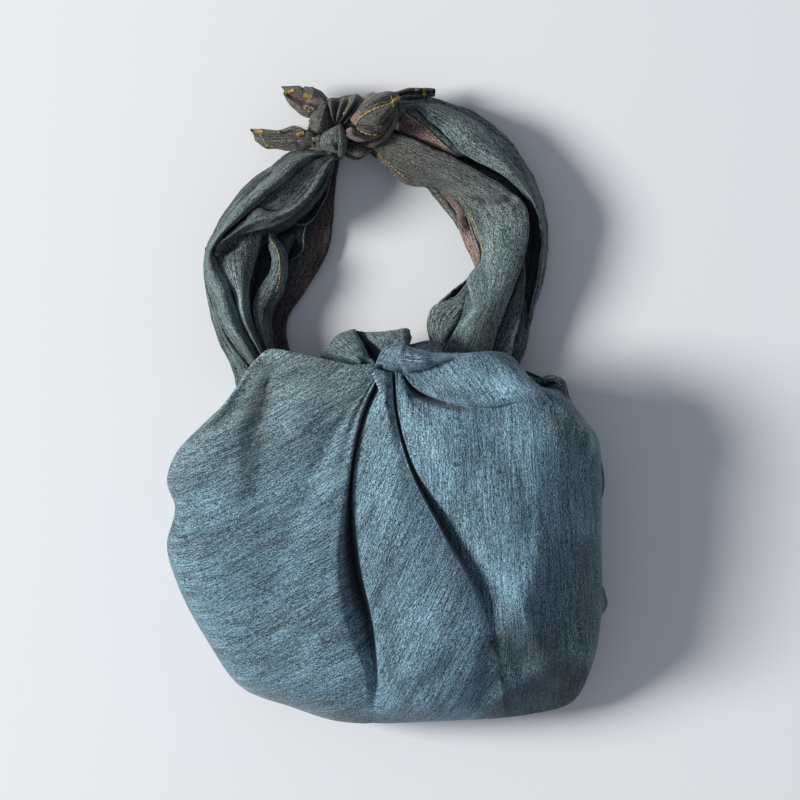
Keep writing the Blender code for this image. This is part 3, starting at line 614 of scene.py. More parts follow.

# Fading of the front together with painted light and shade: ellipses in pixels, x, y, half width
# and half height, with a gain; and outlines of painted shade and highlights, with a gain and a soft edge in pixels.
bagFadesAndPaintedLight = (
    (384, 478, 24, 70, 0.30), (430, 640, 60, 55, 0.30), (508, 384, 30, 13, 0.65), (470, 378, 30, 12, 0.25),
    (318, 425, 44, 60, 0.55), (342, 660, 30, 24, 0.25), (415, 360, 22, 10, 0.2), (300, 395, 30, 22, 0.12),
    (500, 400, 26, 8, 0.35), (385, 392, 10, 22, 0.4), (452, 393, 26, 5, -0.25), (532, 398, 16, 12, 0.3),
    (452, 445, 26, 50, 0.42), (544, 450, 20, 60, 0.35), (518, 562, 16, 46, 0.45), (476, 530, 14, 40, 0.2),
    (542, 480, 16, 60, 0.55), (232, 425, 10, 26, 0.2), (560, 560, 30, 70, 0.15), (438, 620, 30, 40, 0.15),
    (514, 560, 14, 26, 0.25), (393, 615, 10, 60, -0.38), (236, 480, 30, 30, -0.08), (488, 702, 20, 12, -0.3),
    (460, 440, 20, 40, 0.3), (514, 556, 14, 24, 0.35), (452, 600, 14, 22, 0.3), (510, 618, 14, 18, -0.3),
    (505, 688, 12, 14, -0.2), (338, 400, 20, 26, 0.25), (188, 490, 14, 30, -0.15), (198, 535, 18, 30, -0.18),
    (212, 600, 20, 30, -0.1), (315, 655, 20, 20, 0.2), (252, 402, 7, 16, -0.2), (514, 650, 20, 14, -0.3),
    (240, 640, 40, 60, 0.05), (345, 690, 30, 20, 0.2), (398, 470, 14, 60, 0.25), (497, 455, 26, 60, 0.22),
    (455, 700, 60, 20, 0.25), (452, 450, 30, 40, 0.10), (232, 430, 24, 40, -0.10), (285, 372, 30, 12, -0.08),
    (330, 500, 16, 90, -0.06),
)
# painted shade on shaded facets, the right flank, the upper left trough and the cup, and painted highlights on a
# ridge
bagPaintedShadeAndHighlights = (
    (((482, 721), (503, 699), (525, 682), (546, 667), (570, 655), (590, 668), (584, 702), (560, 716), (520, 725)),
        0.45, 8),
    (((540, 535), (535, 562), (526, 600), (515, 619), (502, 629), (496, 648), (520, 662), (556, 646), (590, 610),
        (600, 540)), 0.70, 9),
    (((470, 715), (500, 690), (525, 673), (546, 659), (549, 662), (527, 677), (502, 695), (474, 719)), 1.3, 1.6),
    (((262, 361), (276, 363), (275, 385), (271, 405), (265, 430), (260, 460), (254, 495), (238, 495), (238, 460),
        (240, 430), (243, 408), (250, 384)), 0.5, 6),
    (((569, 414), (583, 418), (592, 425), (600, 437), (598, 458), (588, 440)), 1.35, 4),
    (((497, 634), (520, 628), (556, 642), (560, 664), (525, 690), (500, 705), (480, 717), (472, 714), (486, 690),
        (492, 662)), 0.62, 9),
    (((534, 377), (546, 378), (558, 378), (562, 382), (557, 387), (549, 389), (541, 387), (535, 382)), 0.15, 1.5),
)


# The table of the bag: each fold line runs from the knot to the rim, sinks or rises from a
# domed front, turns under at the side by a quarter ellipse and runs up the flat back.
def bagCells():
    stations, shares = np.array(bagShape["stations"]), np.array(bagShape["backShares"])
    marks = np.array((*bagShape["stations"][:6], 1.0))
    turns = np.radians(bagShape["turns"])
    knotHeight = bagShape["knotHeight"]
    edge = np.array(backEdge, float)
    edgeMarks = marksOf(edge)
    rows = []
    for index, (_, rimHeight, crown, fullness, _, sinks, way) in enumerate(bagFolds.values()):
        way = np.array(way, float)
        top = knotHeight + (crown - knotHeight) * smooth(0, bagShape["crownShare"], stations)
        level = (1.0 - stations**fullness) ** bagShape["domePower"]
        height = rimHeight + (top - rimHeight) * level - np.array(sinks)
        where = (index + 1) / (len(bagFolds) + 1) * edgeMarks[-1]
        end = np.array([np.interp(where, edgeMarks, axis) for axis in edge.T])
        tuck = way[-1] + unit(end - way[-1]) * (bagShape["sideInset"] * (1 - np.cos(turns)))[:, None]
        back = tuck[-1] + (end - tuck[-1]) * shares[:, None]
        plan = np.vstack((curveAt(way, marks, stations), tuck, back))
        rows.append(np.column_stack((plan, (*height, *(rimHeight * (1 - np.sin(turns))), *np.zeros(len(shares))))))
    return np.array([np.array(mouthLeft, float), *rows, np.array(mouthRight, float)])


# The weave of the front: on each panel, plan distances turned to the panel's yarn. From station
# 0.7 on, the plan is unrolled: it goes on straight for as long as the cloth does.
def bagWeave(grid, rows, columns):
    flat = grid[..., :2].copy()
    turnAt, rimAt = np.searchsorted(columns, bagShape["unrollColumns"])
    beyond = np.cumsum(np.linalg.norm(np.diff(grid, axis=1), axis=-1)[:, turnAt:], axis=1)
    ahead = unit(grid[:, rimAt, :2] - grid[:, turnAt, :2])
    flat[:, turnAt + 1:] = flat[:, turnAt:turnAt + 1] + ahead[:, None] * beyond[..., None]
    names = ["left", *(fold[0] for fold in bagFolds.values()), "petal"]

    def turned(name, places):
        angle = math.radians(panelWeave[name])
        x, y = places[..., 0], places[..., 1]
        if name == "left":
            y = y - leftWeave["turn"] * (x - leftWeave["start"]) ** 2
        cosine, sine = math.cos(angle), math.sin(angle)
        return np.stack((x * cosine + y * sine, y * cosine - x * sine), axis=-1)

    total = np.zeros_like(flat)
    shifts = dict(left=np.zeros(2))
    for before, after, pixel in weaveJoints:
        joint = placed((*pixel, bagShape["jointHeight"]))[:2]
        shifts[after] = turned(before, joint) + shifts[before] - turned(after, joint)
    for name in panelWeave:
        own = [index for index, panel in enumerate(names) if panel == name]
        before = 1.0 if name == "left" else smooth(own[0] - 1, own[0], rows)
        after = 1.0 if name == "petal" else 1 - smooth(own[-1], own[-1] + 1, rows)
        total += np.asarray(before * after)[..., None, None] * (turned(name, flat) + shifts[name])
    return total


# The painted light and shade of each point of the bag, with some fading, how far its dye has
# turned from blue to brown, and how far its inner wall shows the wrong side.
def bagColours(grid, pixels, rows, columns):
    x, y = grid[..., 0], grid[..., 1]
    dye = bagDye["upperLeft"] * smooth(*bagDye["upperLeftX"], x) * smooth(*bagDye["upperLeftY"], y)
    dye += bagDye["top"] * smooth(*bagDye["topY"], y) + bagDye["rightSide"] * smooth(*bagDye["rightSideX"], x)
    # painted shade in the creases and the cup, and painted light and shade from the ellipses and outlines
    shade = np.ones(grid.shape[:2])
    for name, depth, reach in bagShape["paintedCreaseShades"]:
        near = np.exp(-(((rows - 1 - list(bagFolds).index(name)) / bagShape["creaseWidth"]) ** 2))
        shade -= depth * near[:, None] * smooth(reach, reach - bagShape["creaseFade"], columns)
    for *ellipse, gain in bagFadesAndPaintedLight:
        shade += gain * ellipseAt(pixels, *ellipse)
    seen = columns < bagShape["paintedShadeColumns"]
    for outline, gain, edge in bagPaintedShadeAndHighlights:
        shade *= 1 + (gain - 1) * insideOutline(pixels, outline, edge) * seen
    cup = insideOutline(pixels, bagShape["cup"], bagShape["cupEdge"])
    shade *= 1 - bagShape["cupPaintedShade"] * cup * smooth(*bagShape["cupColumns"], columns)
    return dict(dye=dye, shade=shade, lining=smooth(*bagShape["liningColumns"], columns) * (1 - cup))


def makeBag():
    sharp = [bagShape["mouthSharp"], *(fold[4] for fold in bagFolds.values()), bagShape["mouthSharp"]]
    tight = [False, *(fold[4] > 0 for fold in bagFolds.values()), False]
    rowSteps = [bagShape["creaseStep" if one and other else "fanStep"] for one, other in zip(tight, tight[1:])]
    frontGaps = len(bagShape["stations"]) - 1 + len(bagShape["turns"])
    columnSteps = [bagShape["frontStep"]] * frontGaps + [bagShape["backStep"]] * len(bagShape["backShares"])
    grid, rows, columns = surfaceThrough(placed(bagCells()), sharp, rowSteps, columnSteps, 0.0)
    pixels = pictured(grid)
    ends = smooth(*bagShape["endRows"], rows) * smooth(*bagShape["endRows"], len(tight) - 1 - rows)
    lift = np.zeros(grid.shape[:2])
    for line, height, left, right, fades in bagSoftFolds:
        lift += 0.001 * height * foldAlong(pixels, line, left, right, fades)
    for wavelength, seed, stretch, share in bagShape["waves"]:
        lift += bagShape["roughness"] * share * unevenness(grid, wavelength, seed, stretch)
    normal = -normalsOf(grid)
    lift *= smooth(*bagShape["sideColumns"], columns) * ends[:, None] * smooth(*bagShape["knotColumns"], columns)
    grid = grid + normal * (lift * smooth(*bagShape["level"], normal[..., 2]))[..., None]
    grid[..., 2] = np.maximum(grid[..., 2], 0.0)
    values = bagColours(grid, pixels, rows, columns)
    turned = {name: value[::-1] for name, value in values.items()}
    return clothPiece("furoshiki_bag", grid[::-1], bagWeave(grid, rows, columns)[::-1], wrongSide=0.0, **turned), grid


bag, bagGrid = makeBag()
print("bag made", len(bag.data.vertices))

# ---- the arms of the handle

# Rows run round the gathered cloth of an arm, from its hem over the folds to its outer side, then
# under it along the surface and up its inner side, which borders the ring.
# Columns of the left arm: top knot, upper bend, upper arm, elbow, middle, lower arm, mouth, in
# the bag.
leftArm = dict(
    hem=((337, 160, 10), (333, 188, 10), (304, 224, 12), (287, 258, 28), (284, 290, 26), (271, 320, 22),
        (276, 350, 22), (288, 384, 16)),
    hemRidge=((336, 160, 10), (331, 188, 10), (302, 224, 13), (280, 254, 33), (270, 290, 33), (265, 320, 30),
        (271, 350, 28), (282, 384, 20)),
    hemFold=((336, 160, 9), (329, 188, 9), (298, 224, 10), (272, 250, 24), (259, 290, 24), (258, 320, 22),
        (266, 350, 22), (277, 384, 16)),
    gap=((336, 160, 8), (328, 188, 7), (294, 224, 8), (264, 248, 7), (254, 290, 6), (255, 320, 7), (264, 350, 9),
        (273, 384, 10)),
    tubeUnder=((335, 159, 15), (326, 188, 22), (298, 220, 26), (256, 246, 24), (249, 288, 24), (252, 320, 26),
        (262, 350, 26), (269, 383, 20)),
    tube=((334, 158, 24), (319, 188, 38), (284, 217, 42), (222, 250, 34), (233, 286, 38), (246, 322, 38),
        (259, 350, 36), (264, 383, 30)),
    pocket=((333, 157, 22), (312, 188, 26), (270, 213, 24), (214, 250, 24), (228, 286, 30), (242, 323, 31),
        (256, 351, 31), (261, 384, 28)),
    leaf=((332, 156, 24), (300, 184, 34), (260, 206, 28), (212, 249, 21), (226, 286, 24), (240, 324, 25),
        (255, 352, 26), (258, 385, 25)),
    crease=((331, 156, 20), (292, 176, 20), (250, 212, 18), (210, 249, 16), (223, 286, 16), (238, 325, 18),
        (253, 353, 20), (255, 386, 20)),
    outerRidge=((329, 154, 26), (286, 170, 42), (240, 207, 46), (207, 252, 38), (216, 288, 40), (232, 327, 40),
        (248, 355, 38), (251, 388, 32)),
    split=((328, 153, 26), (280, 166, 42), (234, 205, 46), (206, 254, 37), (212, 290, 38), (225, 332, 30),
        (242, 358, 28), (247, 389, 28)),
    outerFold=((326, 152, 24), (273, 165, 36), (229, 207, 40), (205, 256, 32), (208, 292, 34), (219, 334, 34),
        (234, 362, 32), (243, 390, 28)),
    silhouette=((322, 151, 14), (262, 173, 18), (222, 216, 18), (204, 262, 18), (207, 296, 18), (217, 338, 18),
        (229, 362, 18), (239, 392, 14)),
    under=((325, 153, 3), (268, 178, 1.2), (229, 220, 1.2), (210, 264, 1.2), (213, 296, 1.2), (223, 336, 1.2),
        (236, 362, 1.2), (246, 392, 1.2)),
    floorLayer=((331, 157, 1.2), (296, 190, 1.2), (262, 225, 1.2), (244, 262, 1.2), (240, 296, 1.2), (244, 330, 1.2),
        (258, 356, 1.2), (270, 388, 1.2)),
    innerFold=((336, 160, 4), (324, 194, 5), (303, 228, 8), (300, 254, 9), (280, 294, 6), (268, 326, 4),
        (276, 354, 3), (290, 386, 1.2)),
    ringSide=((339, 160, 9), (335, 192, 9), (333, 222, 9), (326, 256, 9), (306, 290, 8), (287, 322, 7), (290, 352, 6),
        (304, 386, 5)),
)
# Columns of the right arm: top knot, upper bend, shoulder, upper arm, elbow, middle, lower arm,
# mouth, in the bag.
rightArm = dict(
    hem=((366, 148, 22), (398, 178, 24), (437, 190, 28), (471, 222, 30), (481, 262, 34), (468, 286, 38),
        (461, 318, 38), (440, 356, 34), (430, 392, 26)),
    band=((370, 143, 34), (412, 164, 40), (460, 180, 46), (500, 214, 50), (506, 258, 54), (492, 292, 56),
        (482, 324, 56), (470, 360, 50), (462, 394, 38)),
    bandEdge=((374, 138, 32), (412, 141, 36), (464, 161, 38), (516, 192, 40), (526, 242, 38), (514, 286, 40),
        (502, 320, 40), (491, 358, 38), (484, 392, 30)),
    gap=((377, 134, 20), (414, 136, 17), (466, 158, 16), (521, 190, 14), (530, 242, 12), (519, 288, 12),
        (507, 322, 12), (497, 358, 12), (490, 392, 12)),
    facing=((380, 128, 20), (420, 125, 22), (470, 157, 20), (525, 195, 16), (534, 242, 13), (523, 290, 14),
        (512, 324, 16), (503, 358, 18), (496, 392, 16)),
    outerEdge=((384, 121, 26), (428, 119, 32), (474, 157, 32), (528, 198, 30), (538, 242, 24), (526, 291, 22),
        (517, 326, 24), (510, 358, 24), (502, 392, 20)),
    outerRidge=((388, 112, 30), (446, 120, 38), (500, 152, 38), (534, 205, 32), (541, 248, 26), (532, 293, 22),
        (522, 328, 22), (515, 359, 22), (507, 392, 18)),
    line=((392, 104, 26), (462, 116, 32), (514, 170, 32), (539, 216, 27), (543, 250, 22), (536, 294, 19),
        (526, 330, 19), (518, 360, 18), (510, 392, 16)),
    silhouette=((396, 98, 14), (470, 109, 14), (524, 160, 14), (546, 212, 14), (548, 252, 14), (538, 295, 13),
        (529, 331, 13), (521, 361, 13), (513, 392, 12)),
    under=((392, 104, 3), (464, 116, 1.2), (517, 165, 1.2), (540, 213, 1.2), (542, 252, 1.2), (532, 294, 1.2),
        (523, 330, 1.2), (515, 360, 1.2), (507, 392, 1.2)),
    floorLayer=((384, 122, 1.2), (432, 144, 1.2), (480, 180, 1.2), (506, 222, 1.2), (508, 256, 1.2), (500, 290, 1.2),
        (488, 326, 1.2), (476, 360, 1.2), (470, 392, 1.2)),
    innerFold=((374, 140, 3), (410, 166, 3), (446, 190, 3), (474, 224, 4), (484, 262, 4), (466, 296, 4),
        (448, 326, 3), (446, 358, 3), (444, 392, 1.2)),
    ringSide=((366, 148, 10), (398, 176, 8), (431, 191, 12), (458, 228, 16), (476, 266, 16), (440, 301, 20),
        (427, 322, 18), (432, 352, 12), (430, 392, 6)),
)
sharpFolds = dict(hem=0.2, hemFold=0.4, gap=0.4, crease=0.4, pocket=0.3, bandEdge=0.4, outerEdge=0.5)

# How far the dye has turned at each column, from 0, blue, over 0.5, grey green, to 1, brown grey.
armLook = dict(
    leftDye=(0.72, 0.60, 0.52, 0.46, 0.42, 0.38, 0.34, 0.30),
    rightDye=(0.95, 0.85, 0.66, 0.48, 0.36, 0.32, 0.30, 0.26, 0.24),
    outerDye=(0.60, 0.56, 0.50, 0.46, 0.42, 0.42, 0.40, 0.36, 0.34),
    outerRows=(2.5, 5.0),     # the rows of the right arm from its inner dye to its outer
    leastStripDye=0.2,
    edgeDye=0.7,
    low=0.72,                 # an arm under its strips lies lower than its table
    rightLow=0.60,
    innerPaintedShade=0.4,           # painted shade: the arm under its strips is darker deep between the folds
)
# Metres from point to point, and how uneven the cloth is.
fineness = dict(arm=(0.0022, 0.0002), strip=(0.0012, 0.00015), ear=(0.0011, 0.0003), front=(0.001, 0.0002),
                tail=(0.0008, 0.0002))
# Of every stretch: the wavelengths of its unevenness in metres, with what is added to the seed
# and a share; where soft folds end as the cloth turns down, how much a mm of fold darkens it
# with painted crease shade and the most that it may; and the least height, in thicknesses.
stretchLook = dict(
    waves=((0.016, 0, 1.0), (0.006, 50, 0.4)), level=(0.1, 0.5), foldPaintedShade=0.1, mostFoldPaintedShade=0.6, lowest=0.6,
)
# Fading of the arms together with painted light and shade, as for the front.
armFadesAndPaintedLight = (
    (310, 182, 7, 20, 0.45), (297, 166, 6, 8, -0.25), (254, 213, 7, 6, -0.2), (230, 276, 13, 16, 0.8),
    (217, 246, 6, 6, 0.3), (240, 306, 6, 22, 0.7), (267, 278, 6, 16, -0.35), (280, 268, 5, 18, 0.55),
    (264, 306, 7, 16, -0.5), (306, 272, 10, 26, 0.3), (233, 330, 5, 20, 0.3), (258, 362, 30, 10, -0.25),
    (419, 117, 12, 8, 1.0), (404, 140, 6, 6, 0.25), (434, 138, 8, 6, 0.4), (456, 143, 8, 8, -0.2),
    (487, 143, 14, 12, 0.35), (382, 165, 9, 8, 0.3), (438, 166, 24, 8, -0.12), (503, 167, 12, 10, 0.3),
    (438, 191, 5, 5, -0.3), (490, 192, 22, 14, 0.2), (462, 215, 4, 10, -0.4), (512, 222, 14, 24, 0.45),
    (496, 255, 12, 24, 0.3), (481, 272, 6, 14, -0.2), (455, 214, 3, 6, 0.2), (497, 285, 8, 14, 0.3),
    (467, 306, 7, 14, 0.45), (485, 310, 8, 22, -0.45), (428, 358, 16, 8, 0.6), (490, 360, 22, 8, 0.2),
    (408.5, 338, 3, 7, -0.9), (420, 346, 12, 6, 0.5), (461, 334, 7, 18, 0.4), (483, 338, 7, 18, -0.35),
)
# The stretch of the left arm where the wrong side is turned up, in pixels.
leftWrongSide = (
    ((332, 158), (342, 160), (338, 222), (332, 258), (312, 292), (292, 322), (294, 352), (308, 388), (278, 388),
        (270, 352), (266, 322), (286, 285), (304, 248), (312, 222), (328, 190)),
)


# A stretch of cloth: the surface of its table, uneven by a little, with its soft folds. dye is
# a number, or one for each column, or a whole grid worked out from rows and columns.
def stretchOf(name, table, dye, kind, seed, outlines=(), flip=None, low=1.0, wrong=0.0, folds=(), shade=1.0):
    step, roughness = fineness[kind]
    points = placed(list(table.values()))
    points[..., 2] *= low
    sharp = [sharpFolds.get(row, 0.0) for row in table]
    grid, rows, columns = surfaceThrough(points, sharp, step, step, cloth["thickness"] / 2)
    pixels = pictured(grid)
    if flip is None:
        third = len(grid) // 3
        flip = np.cross(np.gradient(grid, axis=0), np.gradient(grid, axis=1))[third:-third, :, 2].sum() < 0
    normal = normalsOf(grid) * (-1 if flip else 1)
    weave = weaveOf(grid)
    lift = sum(roughness * share * unevenness(grid, wave, seed + more) for wave, more, share in stretchLook["waves"])
    for line, height, left, right, ends in folds:
        bell = foldAlong(pixels, line, left, right, ends)
        lift = lift + 0.001 * height * bell * smooth(*stretchLook["level"], normal[..., 2])
        # painted crease shade: a sunk fold darkens the colour along its line
        depth = min(stretchLook["mostFoldPaintedShade"], stretchLook["foldPaintedShade"] * max(0.0, -height))
        shade = shade * (1 - depth * bell**2)
    # painted light and shade, with some fading
    for *ellipse, gain in armFadesAndPaintedLight:
        shade = shade * (1 + gain * ellipseAt(pixels, *ellipse))
    grid = grid + normal * lift[..., None]
    grid[..., 2] = np.maximum(grid[..., 2], cloth["thickness"] * stretchLook["lowest"])
    if callable(dye):
        dye = dye(rows, columns)
    elif not isinstance(dye, float):
        dye = np.interp(columns, np.arange(len(dye)), dye)
    wrong = np.full(grid.shape[:2], wrong)
    for outline in outlines:
        wrong = np.maximum(wrong, insideOutline(pixels, outline))
    values = dict(dye=np.broadcast_to(dye, grid.shape[:2]), wrongSide=wrong, shade=shade)
    way = slice(None, None, -1 if flip else 1)
    turned = {key: value[way] for key, value in values.items()}
    return clothPiece(name, grid[way], weave[way], **turned), grid


def rightArmDye(rows, columns):
    inner, outer = (
        np.interp(columns, np.arange(len(armLook[name])), armLook[name]) for name in ("rightDye", "outerDye")
    )
    return inner + (outer - inner) * smooth(*armLook["outerRows"], rows)[:, None]


armPieces = dict(
    arm_left=stretchOf("arm_left", leftArm, armLook["leftDye"], "arm", 3, leftWrongSide, flip=False,
                       low=armLook["low"], shade=armLook["innerPaintedShade"])[0],
    arm_right=stretchOf("arm_right", rightArm, rightArmDye, "arm", 4, flip=True,
                        low=armLook["rightLow"], shade=armLook["innerPaintedShade"])[0],
)
print("arms made")

